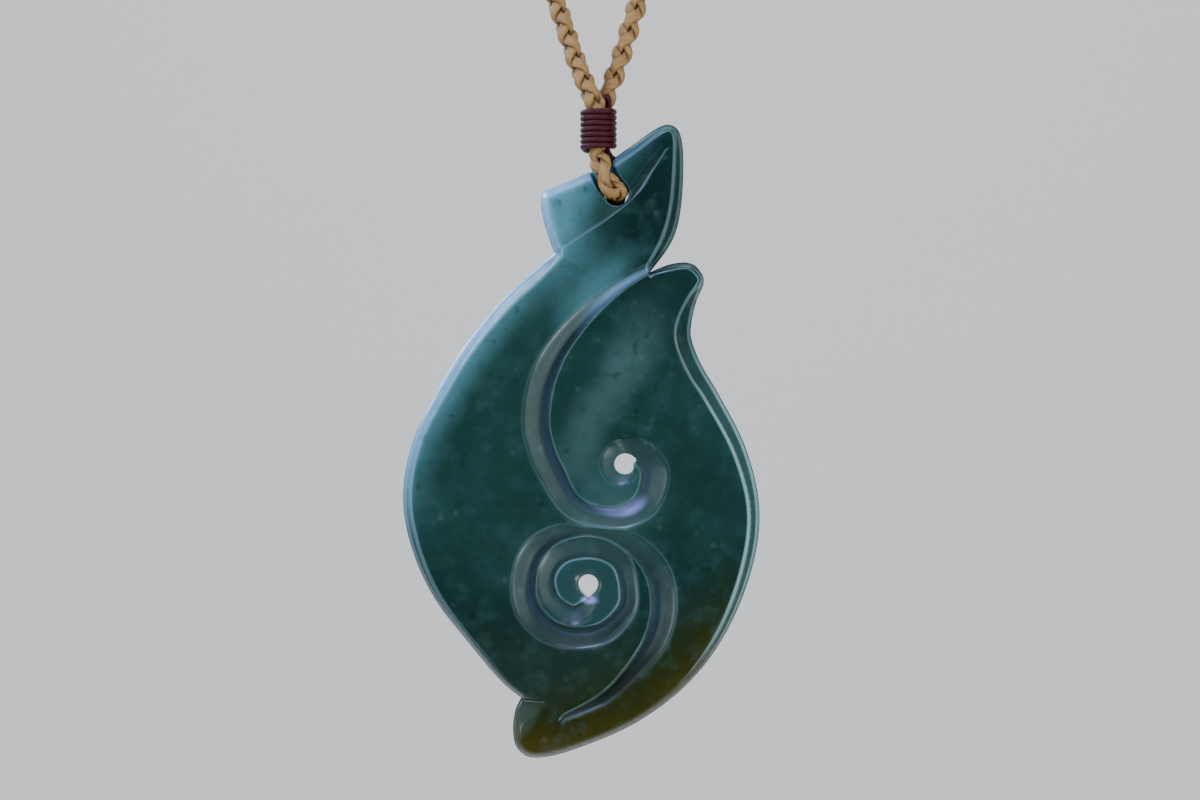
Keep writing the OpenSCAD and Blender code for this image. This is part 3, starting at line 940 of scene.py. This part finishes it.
# %% Wound thread
THREAD_D, THREAD_SIDES, THREAD_GAP = 0.66, 12, 0.13
PLIES, PLY_TWIST, PLY_MID, PLY_SWAY = 3, 1.5, 0.94, 0.07
THREAD_SIDE = (0.3, 0.5, 0.8)


def plied(arc, diameter):
    """Sections of a three-ply thread, turned further at each station."""
    angle = np.arange(THREAD_SIDES)[None] * 2 * math.pi / THREAD_SIDES
    spin = (arc * 2 * math.pi / PLY_TWIST)[:, None]
    radius = diameter / 2 * (PLY_MID + PLY_SWAY * np.cos(PLIES * (angle - spin)))
    return np.dstack([np.cos(angle) * radius, np.sin(angle) * radius])


def wind(bm, path, diameter):
    """Thread along a path."""
    path = respace(np.array(path, float), THREAD_GAP, 3)
    side, _ = carried_frames(path, THREAD_SIDE)
    arc = np.arange(len(path)) * THREAD_GAP
    rolled(bm, path, side, plied(arc, diameter), arc)


print("thread's widest in mm:", round(THREAD_D * (PLY_MID + PLY_SWAY), 3))

# %% [markdown]
# ## Round two strands
# The two legs lie one behind the other in the binding, so a turn of thread is no circle: it has
# two straight sides and two half rounds. Its ends are drawn in between the legs.

# %% The front binding's turns
TURNS, TURN_STEPS = 7, 48
CORD_OUTSIDE, THREAD_SUNK = 1.2, 0.05
WOUND_AT = CORD_OUTSIDE + THREAD_D / 2 - THREAD_SUNK
HALF_APART, LEAN = 1.15, 0.1
BACK_SHARE = 0.333
TUCKED_SHARE, TUCKED_BY = 0.12, 0.8


def oval_place(share, radius, half_apart):
    """A place on an oval round two strands that lie one behind the other, at a share of its way."""
    straight, curved = 2 * half_apart, math.pi * radius
    whole = 2 * (straight + curved)
    way = (share % 1) * whole
    if way < straight:
        return np.array([radius, way - half_apart])
    way -= straight
    if way < curved:
        angle = way / radius
        return np.array([radius * math.cos(angle), half_apart + radius * math.sin(angle)])
    way -= curved
    if way < straight:
        return np.array([-radius, half_apart - way])
    angle = math.pi + (way - straight) / radius
    return np.array([radius * math.cos(angle), -half_apart + radius * math.sin(angle)])


binding_bm = bmesh.new()
coil = []
for made in np.linspace(0, TURNS, TURNS * TURN_STEPS):
    tucked = max(0, 1 - min(made, TURNS - made) / TUCKED_SHARE)
    x, y = oval_place(BACK_SHARE - made, WOUND_AT - TUCKED_BY * tucked, HALF_APART)
    z = -THREAD_D / 2 - (BINDING_LENGTH - THREAD_D) * made / TURNS
    coil.append(TIE_TOP + (x + LEAN * np.sign(y) * min(abs(y), 1), y, z))
wind(binding_bm, coil, THREAD_D)
print("points along the turns:", len(coil))

# %% [markdown]
# ## The thread's two ends
# A loop of thread comes up between the legs and goes back down, and the other end leaves the
# binding below. Both show in the photo as small dark parts.

# %% The tuck and the loose end
END_STEPS = 8
tuck = TIE_TOP + smooth_run([
    (0.15, -0.3, -1.2), (0.2, -0.45, 0.0), (0.35, -0.6, 0.75), (0.65, -0.6, 1.05), (0.95, -0.35, 0.8),
    (1.05, 0.0, 0.1), (0.95, 0.1, -1.2),
], END_STEPS)
wind(binding_bm, tuck, THREAD_D)
loose_end = TIE_TOP + smooth_run([
    (0.7, -1.0, -3.9), (0.95, -1.15, -4.7), (1.25, -1.2, -5.2), (1.6, -1.1, -5.5),
], END_STEPS)
wind(binding_bm, loose_end, THREAD_D)
bmesh.ops.recalc_face_normals(binding_bm, faces=binding_bm.faces[:])
print("faces of the front binding:", len(binding_bm.faces))

# %% [markdown]
# ## The join at the nape
# The photo doesn't show how the loop is closed. A plain binding over the cord's two ends is the
# usual way, with the same thread and round turns.

# %% The nape binding
NAPE_TURNS, NAPE_LENGTH, NAPE_STEPS = 14, 10.0, 40
nape_bm = bmesh.new()
made = np.linspace(0, NAPE_TURNS, NAPE_TURNS * NAPE_STEPS)
around = 2 * math.pi * made
wind(nape_bm, np.column_stack([
    (NAPE_LENGTH - THREAD_D) * (made / NAPE_TURNS - 0.5),
    WOUND_AT * np.cos(around), NAPE_Z + WOUND_AT * np.sin(around),
]), THREAD_D)
bmesh.ops.recalc_face_normals(nape_bm, faces=nape_bm.faces[:])
print("faces of the nape binding:", len(nape_bm.faces))

# %% [markdown]
# ## Shader maths in plain Python
# A finish is easier to read as sums and products than as a picture of wires. One small class
# stands for a socket, and Python's own operators on it add the Math nodes.

# %% A socket that takes part in sums
class Value:
    """A shader socket; each operator adds one Math node."""

    def __init__(self, finish, socket):
        self.finish, self.socket = finish, socket

    def maths(self, operation, first, second):
        return self.finish.node("Math", {"operation": operation}, {0: first, 1: second})

    def __add__(self, other):
        return self.maths("ADD", self, other)

    def __sub__(self, other):
        return self.maths("SUBTRACT", self, other)

    def __rsub__(self, other):
        return self.maths("SUBTRACT", other, self)

    def __mul__(self, other):
        return self.maths("MULTIPLY", self, other)

    def __pow__(self, other):
        return self.maths("POWER", self, other)

    __radd__, __rmul__ = __add__, __mul__


print("operators on a socket:", sum(name in Value.__dict__ for name in (
    "__add__", "__radd__", "__sub__", "__rsub__", "__mul__", "__rmul__", "__pow__"
)))

# %% [markdown]
# ## A finish, node by node
# A finish holds its material and its Principled shader. One method adds any node, and the few
# others are short names for the nodes that every finish here uses.

# %% The finish
class Finish:
    """A material, built node by node round its Principled shader."""

    def __init__(self, name, **fixed):
        self.material = bpy.data.materials.new(name)
        self.material.use_nodes = True
        self.tree = self.material.node_tree
        self.shader = self.tree.nodes["Principled BSDF"]
        for label, value in fixed.items():
            socket = label.replace("_", " ").title().replace("Ior", "IOR")
            self.shader.inputs[socket].default_value = value

    def plug(self, socket, value):
        if isinstance(value, Value):
            self.tree.links.new(value.socket, socket)
        else:
            socket.default_value = value

    def node(self, kind, settings=None, sockets=None, out=0):
        """Any node: its settings first, then its sockets, and the output that is wanted."""
        node = self.tree.nodes.new("ShaderNode" + kind)
        for key, value in (settings or {}).items():
            setattr(node, key, value)
        for key, value in (sockets or {}).items():
            self.plug(node.inputs[key], value)
        return Value(self, node.outputs[out])

    def feed(self, label, value):
        self.plug(self.shader.inputs[label], value)

    def mix(self, factor, under, over):
        return self.node("Mix", {"data_type": "RGBA"}, {0: factor, 6: under, 7: over}, 2)

    def between(self, value, low, high):
        """0 below low and 1 above high, with a smooth change; low may be the larger."""
        return self.node("MapRange", {"interpolation_type": "SMOOTHSTEP"},
                         {"Value": value, "From Min": low, "From Max": high})

    def noise(self, vector, scale, detail=2.0, roughness=0.5):
        return self.node("TexNoise", {}, {
            "Vector": vector, "Scale": scale, "Detail": detail, "Roughness": roughness
        })

    def bump(self, height, distance, under=None):
        sockets = {"Height": height, "Distance": distance, "Strength": 1.0}
        if under is not None:
            sockets["Normal"] = under
        return self.node("Bump", {}, sockets)


def rgb(red, green, blue):
    return (red, green, blue, 1.0)


print("an opaque colour:", rgb(0, 0, 0))

# %% [markdown]
# ## Greenstone
# The stone is nephrite: deep blue-green, cloudy inside, and olive to honey brown where the rind of
# the boulder was near. The milky glow at its thin upper left rim, where light comes through, is
# painted into the colour. Light goes a little way in, so the shader has a subsurface part. Places
# are in millimetres from the stone's left and foot.

# %% Places and noises in the stone
greenstone = Finish("greenstone", ior=1.61, specular_ior_level=0.13, subsurface_weight=0.85,
                    subsurface_scale=0.003)
greenstone.shader.inputs["Subsurface Radius"].default_value = (0.35, 1.0, 1.05)
mix, between, noise, bump = greenstone.mix, greenstone.between, greenstone.noise, greenstone.bump
on_object = greenstone.node("TexCoord", out="Object")
plan_mm = greenstone.node("Mapping", {}, {
    "Vector": on_object, "Scale": (1 / MM,) * 3, "Location": (-STONE_LEFT, -TIE_TOP[1], -STONE_FOOT)
})
plan_x, plan_y, plan_z = (
    greenstone.node("SeparateXYZ", {}, {"Vector": plan_mm}, axis) for axis in ("X", "Y", "Z")
)
mist = noise(plan_mm, 0.22, 3, 0.5)
flecks = noise(plan_mm, 0.9, 1, 0.4)
mottle = noise(plan_mm, 0.6, 2, 0.5)
specks = greenstone.node("TexVoronoi", {"feature": "SMOOTH_F1"}, {
    "Vector": plan_mm, "Scale": 0.55, "Smoothness": 0.4
})
from_edge, carved, arris = (
    greenstone.node("Attribute", {"attribute_name": name}, out="Fac") for name in LAYERS
)
print("nodes for places and noises:", len(greenstone.tree.nodes))

# %% [markdown]
# ## Soft patches
# The clouds in the stone have no sharp edge and no even outline. Each is an oval in a turned and
# stretched space of its own, and slow noise shifts the place before it is measured.

# %% One soft patch
DRIFT, ANY_DEPTH = 0.7, 1000
drift = greenstone.node("VectorMath", {"operation": "MULTIPLY_ADD"}, {
    0: greenstone.node("TexNoise", {}, {"Vector": plan_mm, "Scale": 0.12, "Detail": 2.0}, "Color"),
    1: (DRIFT,) * 3, 2: (-DRIFT / 2,) * 3,
})


def cloud(x, z, angle, long, wide, soft=0.1):
    """A soft-edged oval patch, placed from the stone's left and foot, in millimetres and degrees."""
    local = greenstone.node("Mapping", {"vector_type": "TEXTURE"}, {
        "Vector": plan_mm, "Location": (x, 0, z), "Rotation": (0, -math.radians(angle), 0),
        "Scale": (long, ANY_DEPTH, wide),
    })
    shifted = greenstone.node("VectorMath", {"operation": "ADD"}, {0: local, 1: drift})
    from_middle = greenstone.node("VectorMath", {"operation": "LENGTH"}, {0: shifted}, "Value")
    return between(from_middle, 1.0, soft)


print("nodes with the drift:", len(greenstone.tree.nodes))

# %% [markdown]
# ## The stone's colours
# All of them are dark, because the stone swallows most of the light. They run from the near black
# of its depths to the frosty blue of a painted glow at its thin rim, with moss, olive and honey near
# the rind. Several are painted light: the milky and frosty glow, the highlit arrises, the sheen on
# the right bevel, the reflection by the walls and the lavender pools. The fleck colour and the deep
# one also serve as painted shade.

# %% Named colours
NIGHT = rgb(0.0010, 0.0100, 0.0078)
DEEP = rgb(0.0032, 0.0158, 0.0117)
TEAL = rgb(0.0088, 0.0370, 0.0280)
HAZE_AND_SHEEN = rgb(0.032, 0.076, 0.067)
PAINTED_MILKY_LIGHT = rgb(0.066, 0.180, 0.190)
PAINTED_FROSTY_LIGHT = rgb(0.15, 0.31, 0.46)
MOSS = rgb(0.008, 0.020, 0.0125)
OLIVE = rgb(0.0105, 0.0155, 0.0018)
HONEY = rgb(0.038, 0.026, 0.0008)
WORN_AND_HIGHLIT = rgb(0.20, 0.32, 0.33)
SATIN = rgb(0.030, 0.082, 0.082)
WALL_REFLECTION_BLUE = rgb(0.045, 0.080, 0.150)
LAVENDER = rgb(0.21, 0.26, 0.52)
PALE = rgb(0.10, 0.15, 0.12)
DARK_FLECK_AND_SHADE = rgb(0.003, 0.009, 0.005)
print("brightest colour in the stone:", max(sum(tint[:3]) for tint in (PAINTED_FROSTY_LIGHT, LAVENDER, WORN_AND_HIGHLIT)))

# %% [markdown]
# ## Clouds inside the stone
# The ground colour varies from deep to teal with the mist. The clouds that the photo shows are
# laid over it one by one, from the large teal ones to the dark tip of the leaf.

# %% Lay the clouds
# Columns: strength, then the patch's place, turn, length, width and full part, then its colour
CLOUDS = [
    (0.8, (11.0, 47.0, 58, 17.0, 7.5), TEAL), (0.5, (8.0, 30.0, 80, 22.0, 8.0), TEAL),
    (0.85, (23.0, 41.0, 62, 12.5, 3.6), HAZE_AND_SHEEN), (0.6, (18.5, 32.5, 75, 8.0, 3.5), HAZE_AND_SHEEN),
    (0.5, (21.0, 25.5, 0, 8.0, 4.0), HAZE_AND_SHEEN), (0.15, (13.0, 20.0, 20, 9.0, 6.0), HAZE_AND_SHEEN),
    (0.6, (26.5, 48.0, 80, 9.0, 6.0), NIGHT), (0.5, (31.5, 50.0, 60, 9.0, 4.0), DEEP),
    # The milky patches on the upper left and on the tab are a painted glow of light through the stone.
    (0.55, (8.5, 50.0, 52, 15.0, 5.0), PAINTED_MILKY_LIGHT), (0.8, (14.0, 56.0, 20, 8.0, 7.0, 0.4), PAINTED_MILKY_LIGHT),
    (0.3, (18.5, 50.5, 60, 8.0, 4.0), PAINTED_MILKY_LIGHT), (0.9, (25.5, 58.0, 70, 12.5, 5.5), NIGHT),
]
colour = mix(0.25 + between(mist, 0.25, 0.8) * 0.6, DEEP, TEAL)
for strength, patch, tint in CLOUDS:
    colour = mix(cloud(*patch) * strength, colour, tint)
print("clouds:", len(CLOUDS))

# %% [markdown]
# ## The painted glow at the rim
# Along the upper left the bevel is thin enough for light to come through. That glow is painted: a
# milky band follows the outline there and turns frosty at the very edge.

# %% The rim's band
upper_left = between(plan_x + (50 - plan_z) * 0.45, 22, 9) * between(plan_z, 17, 41)
# Painted glow: a milky band along the upper left rim, frosty at the very edge.
colour = mix(between(from_edge, 4.2, 0.8) * upper_left * 0.75, colour, PAINTED_MILKY_LIGHT)
colour = mix(between(from_edge, 1.5, 0.3) * upper_left * 0.8, colour, PAINTED_FROSTY_LIGHT)
print("nodes with the rim:", len(greenstone.tree.nodes))

# %% [markdown]
# ## The rind
# Low on the right the stone came from near the boulder's skin, where iron turns it to olive and
# honey. The change follows a wide arc about a place on the left, broken up by the mist.

# %% Moss, olive and honey
RIND_MIDDLE = (10, 0, 32)
rind = greenstone.node("Mapping", {"vector_type": "TEXTURE"}, {"Vector": plan_mm, "Location": RIND_MIDDLE})
rind_x, rind_z = (greenstone.node("SeparateXYZ", {}, {"Vector": rind}, axis) for axis in ("X", "Z"))
from_middle = (rind_x ** 2 + rind_z ** 2) ** 0.5 + (mist - 0.5) * 3
low_down = between(plan_z, 24, 12)
colour = mix(between(plan_z + (mist - 0.5) * 6, 28, 12) * 0.6, colour, NIGHT)
colour = mix(between(plan_z + (mist - 0.5) * 8, 17, 8) * 0.8, colour, MOSS)
colour = mix(between(from_middle, 23.0, 29.0) * low_down, colour, OLIVE)
colour = mix(between(from_middle, 27.5, 33.0) * low_down, colour, HONEY)
print("nodes with the rind:", len(greenstone.tree.nodes))

# %% [markdown]
# ## Mottle, specks and flecks
# Nephrite is felted from fine fibres, which show as a faint mottle. Pale specks and a few dark
# grains float in it. They are placed by noise and kept weak, because the photo shows them only
# near the light.

# %% The small marks
colour = mix(between(mottle, 0.45, 0.8) * 0.25, colour, HAZE_AND_SHEEN)
colour = mix(between(mottle, 0.5, 0.2) * 0.3, colour, DEEP)
colour = mix(between(specks, 0.26, 0.06) * between(mist, 0.4, 0.6) * 0.14, colour, PALE)
colour = mix(between(flecks, 0.36, 0.20) * 0.4, colour, DARK_FLECK_AND_SHADE)
print("nodes with the small marks:", len(greenstone.tree.nodes))

# %% [markdown]
# ## Satin in the carving, with painted shade and painted light
# The ground scoops and the small coils are left satin, which makes them paler, less so near the
# foot, where the scoops get painted shade instead. A bluish painted reflection lies at the foot of
# the walls, and a painted highlight lies in the neck's scoop and fades onto the face beside it. The
# patches that belong to the carved face only are kept off the back.

# %% Paler where the burr has been, with painted shade and painted light
ground = between(carved, 0.02, 0.3)
high_up = between(plan_z, 6, 16)
front = between(plan_y, 1, -0.5)
coil_patch = cloud(19.0, 17.8, 0, 5.6, 5.2, 0.6) * front
bowl_patch = cloud(22.0, 28.0, 0, 5.5, 4.0, 0.3) * front
neck_patch = cloud(22.6, 47.6, 44, 6.5, 2.6, 0.3)
shoulder_patch = cloud(20.4, 48.6, 44, 8.0, 2.4, 0.1)
facet_patch = cloud(12.4, 4.4, 60, 3.0, 1.8, 0.5) * front
# Painted shade: the scoops near the foot are darkened.
colour = mix(ground * (1 - high_up) * 0.6, colour, DARK_FLECK_AND_SHADE)
colour = mix(facet_patch * 0.16, colour, PALE)
colour = mix(ground * high_up * 0.15, colour, SATIN)
colour = mix(coil_patch * 0.3, colour, SATIN)
colour = mix(bowl_patch * 0.35, colour, SATIN)
# Painted reflection: a bluish band of cool light at the foot of the walls.
colour = mix(ground * between(carved, 0.75, 0.95) * high_up * 0.22, colour, WALL_REFLECTION_BLUE)
# Painted highlight in the neck's scoop, and its soft fade onto the face beside it.
colour = mix(neck_patch * ground * 0.6, colour, PAINTED_FROSTY_LIGHT)
colour = mix(shoulder_patch * (1 - ground) * front * 0.45, colour, PAINTED_MILKY_LIGHT)
print("nodes with the satin:", len(greenstone.tree.nodes))

# %% [markdown]
# ## Worn arrises with painted highlights, and painted shade
# Each step and ridge catches a thin pale line: its polish is worn, and the line is also a painted
# highlight. How far a place stands proud was measured on the mesh: strongly on a step, weakly on a
# ridge. The hollows next to them go a little darker with painted shade, and the right bevel gets a
# lighter band of painted sheen.

# %% Pale lines on the steps and ridges
step_line = between(arris, 0.03, 0.22)
ridge_line = between(arris, 0.002, 0.014) * between(arris, 0.07, 0.035)
right_side = between(plan_x - plan_z * 0.1, 24, 29) * between(plan_z, 8, 20)
tail_patch = cloud(20.5, 8.5, 40, 8.0, 3.0, 0.5)
# Painted sheen: a lighter band along the bevel on the right side.
colour = mix(between(from_edge, 1.5, 1.1) * right_side * 0.5, colour, HAZE_AND_SHEEN)
ridges = ridge_line * (high_up * 0.2 + right_side * 0.45 + tail_patch * 0.25)
steps = step_line * (high_up * 0.12 + coil_patch * 0.3 + tail_patch * 0.2)
# Pale lines of worn polish, which are also painted highlights.
colour = mix(ridges + steps, colour, WORN_AND_HIGHLIT)
# Painted shade in the hollows beside the steps.
colour = mix(between(arris, -0.03, -0.25) * 0.5, colour, DEEP)
print("nodes with the arrises:", len(greenstone.tree.nodes))

# %% [markdown]
# ## Cool light in the hollows
# The photo has two small pools of lavender light: under the tongue of the hook, and below the
# lower eye. They lie on the carved face only.

# %% The pools, and the whole colour
pool = cloud(21.0, 26.2, -20, 3.4, 1.5, 0.2) + cloud(23.8, 25.6, 35, 2.2, 1.6, 0.1)
colour = mix(pool * between(carved, 0.5, 0.9) * 0.75, colour, LAVENDER)
colour = mix(cloud(19.1, 16.3, 0, 1.0, 0.6, 0.3) * front * 0.8, colour, LAVENDER)
greenstone.feed("Base Color", colour)
print("nodes in the whole colour:", len(greenstone.tree.nodes))

# %% [markdown]
# ## The polish
# The faces are polished high and the scoops are left duller. A long ripple keeps reflections from
# looking like glass, and a fine grain shows where the burr was not polished out.

# %% Roughness and bump
RIPPLE_RISE, GRAIN_RISE = 0.00006, 0.000014
grain = noise(plan_mm, 5.0, 3, 0.65)
greenstone.feed("Roughness", 0.22 + ground * 0.2)
ripple = bump(noise(plan_mm, 0.25, 1, 0.4), RIPPLE_RISE)
greenstone.feed("Normal", bump(grain * (0.1 + ground), GRAIN_RISE, ripple))
print("nodes in the greenstone:", len(greenstone.tree.nodes))

# %% [markdown]
# ## Waxed strands
# The cord is waxed natural fibre, straw to tan. Each strand is a bundle of fine threads, so its
# bump runs along the UV map's length. Where strands dive under one another the colour goes to
# brown: painted shade between the strands.

# %% Build the cord's finish
STRAW, TAN, UMBER = rgb(0.32, 0.185, 0.062), rgb(0.20, 0.108, 0.032), rgb(0.034, 0.012, 0.002)
FIBRE_RISE, FINE_RISE = 0.00013, 0.00004
waxed = Finish("plaited_cord", specular_ior_level=0.2)
uv = waxed.node("UVMap")


def along_fibres(finish, scale):
    """The UV map stretched, so that noise in it runs in streaks along the fibres."""
    return finish.node("Mapping", {}, {"Vector": uv, "Scale": scale})


fibre = waxed.noise(along_fibres(waxed, (9.0, 0.55, 1.0)), 3.2, 4, 0.6)
fine = waxed.noise(along_fibres(waxed, (30.0, 1.2, 1.0)), 3.0, 3, 0.6)
blotch = waxed.noise(along_fibres(waxed, (1.0, 0.35, 1.0)), 1.0, 2, 0.5)
buried = waxed.node("Attribute", {"attribute_name": "buried"}, out="Fac")
colour = waxed.mix(waxed.between(fibre, 0.34, 0.66), TAN, STRAW)
colour = waxed.mix(waxed.between(blotch, 0.5, 0.75) * 0.45, colour, TAN)
# Painted shade where the strands dive under one another.
colour = waxed.mix(buried * 0.85, colour, UMBER)
waxed.feed("Base Color", colour)
waxed.feed("Roughness", 0.5 + waxed.between(fine, 0.3, 0.7) * 0.2)
waxed.feed("Normal", waxed.bump(fine, FINE_RISE, waxed.bump(fibre, FIBRE_RISE)))
print("nodes in the cord's finish:", len(waxed.tree.nodes))

# %% [markdown]
# ## Burgundy thread
# The thread is waxed and tight, dark wine red with a soft shine that catches the cool light.

# %% Build the thread's finish
WINE_DARK, WINE = rgb(0.013, 0.0004, 0.0012), rgb(0.050, 0.0015, 0.0045)
PLY_RISE = 0.00005
thread = Finish("binding_thread", specular_ior_level=0.16)
uv = thread.node("UVMap")
ply = thread.noise(along_fibres(thread, (14.0, 1.2, 1.0)), 2.5, 3, 0.6)
thread.feed("Base Color", thread.mix(thread.between(ply, 0.3, 0.7), WINE_DARK, WINE))
thread.feed("Roughness", 0.35 + ply * 0.2)
thread.feed("Normal", thread.bump(ply, PLY_RISE))
print("nodes in the thread's finish:", len(thread.tree.nodes))

# %% [markdown]
# ## Dress the pendant
# Each mesh becomes a piece with its finish. It stands for one plain solid of the packed model,
# which is hidden.

# %% Put the finishes on the pieces
stone = finished(stone_bm, "carved_stone", greenstone.material, "hook_stone")
cord = finished(cord_bm, "plaited_cord", waxed.material, "neck_cord")
front_winding = finished(binding_bm, "front_winding", thread.material, "front_binding")
nape_winding = finished(nape_bm, "nape_winding", thread.material, "nape_binding")
print("pieces dressed:", [piece.name for piece in (stone, cord, front_winding, nape_winding)])

# %% [markdown]
# ## The stage
# A pale floor that curves up all round, soft lights on both sides, and a long lens straight in
# front of the stone.

# %% The floor
FLOOR_Z, FLOOR_R, CURVE_R, FLOOR_STEPS = -0.56, 2.2, 0.9, 64
stage_bm = bmesh.new()
profile = [stage_bm.verts.new((r, 0, FLOOR_Z + z)) for r, z in (
    [(0.0, 0.0), (0.5, 0.0), (1.2, 0.0)]
    + [(FLOOR_R - CURVE_R + CURVE_R * math.sin(a), CURVE_R * (1 - math.cos(a)))
       for a in np.radians(np.arange(0, 91, 10))]
)]
edges = [stage_bm.edges.new(pair) for pair in zip(profile[:-1], profile[1:])]
bmesh.ops.spin(stage_bm, geom=profile + edges, cent=(0, 0, 0), axis=(0, 0, 1), angle=2 * math.pi,
               steps=FLOOR_STEPS, use_merge=True)
bmesh.ops.remove_doubles(stage_bm, verts=stage_bm.verts[:], dist=1e-5)
stage_mesh = bpy.data.meshes.new("floor")
bmesh.ops.recalc_face_normals(stage_bm, faces=stage_bm.faces[:])
stage_bm.to_mesh(stage_mesh)
stage_mesh.shade_smooth()
floor = bpy.data.objects.new("floor", stage_mesh)
bpy.context.collection.objects.link(floor)
paint = Finish("floor", roughness=0.9, specular_ior_level=0.2)
paint.feed("Base Color", rgb(0.62, 0.63, 0.65))
stage_mesh.materials.append(paint.material)
print("floor faces:", len(stage_mesh.polygons))

# %% [markdown]
# ## The light
# The photo was lit softly from both sides, cool on the left and a little greener on the right. A
# weak world fills the shade, narrow strips draw the rims, and one large lamp lights the backdrop.

# %% The world and the lamps
world = bpy.data.worlds.new("studio")
bpy.context.scene.world = world
world.use_nodes = True
world.node_tree.nodes["Background"].inputs["Color"].default_value = (0.9, 0.95, 1.0, 1)
world.node_tree.nodes["Background"].inputs["Strength"].default_value = 0.15

LOOK_AT = Vector((0.0, -0.15, -0.243))
for name, place, size, watts, tint in [
    ("cool_rim", (-0.42, -0.20, 0.12), (0.22, 0.22), 5.0, (0.58, 0.70, 1.0)),
    ("left_strip", (-0.35, -0.45, -0.225), (0.04, 0.25), 1.3, (0.90, 0.95, 1.0)),
    ("right_strip", (0.38, -0.42, -0.19), (0.04, 0.32), 1.6, (0.94, 1.0, 0.97)),
    ("low_right", (0.26, -0.44, -0.44), (0.10, 0.10), 1.2, (0.90, 0.97, 1.0)),
    ("lavender", (-0.05, -0.47, 0.0), (0.05, 0.05), 1.3, (0.46, 0.48, 1.0)),
    ("overhead", (0.05, -0.45, 0.35), (0.35, 0.35), 1.5, (1.0, 1.0, 1.0)),
    ("back_left", (-0.35, 0.30, 0.05), (0.25, 0.25), 2.5, (0.72, 0.84, 1.0)),
]:
    lamp = bpy.data.lights.new(name, "AREA")
    lamp.shape = "RECTANGLE"
    lamp.energy, lamp.color = watts, tint
    lamp.size, lamp.size_y = size
    light = bpy.data.objects.new(name, lamp)
    bpy.context.collection.objects.link(light)
    light.location = place
    light.visible_camera = False
    light.rotation_euler = (LOOK_AT - Vector(place)).to_track_quat("-Z", "Y").to_euler()

BACKDROP_AIM = Vector((0, 2.0, -0.3))
lamp = bpy.data.lights.new("backdrop", "AREA")
lamp.energy, lamp.size = 42.0, 1.0
light = bpy.data.objects.new("backdrop", lamp)
bpy.context.collection.objects.link(light)
light.location = (0.0, 0.5, 1.0)
light.rotation_euler = (BACKDROP_AIM - light.location).to_track_quat("-Z", "Y").to_euler()
print("lamps:", len(bpy.data.lights))

# %% [markdown]
# ## The camera
# A long lens stands level with the stone and straight in front of it, so the outline isn't drawn
# out of shape.

# %% The camera
lens = bpy.data.cameras.new("camera")
lens.lens, lens.sensor_width = 100, 36
camera = bpy.data.objects.new("camera", lens)
bpy.context.collection.objects.link(camera)
camera.location = (0.00015, -0.4932, -0.24335)
camera.rotation_euler = (math.pi / 2, 0, 0)
bpy.context.scene.camera = camera
print("camera in mm:", [round(v / MM, 1) for v in camera.location])

# %% [markdown]
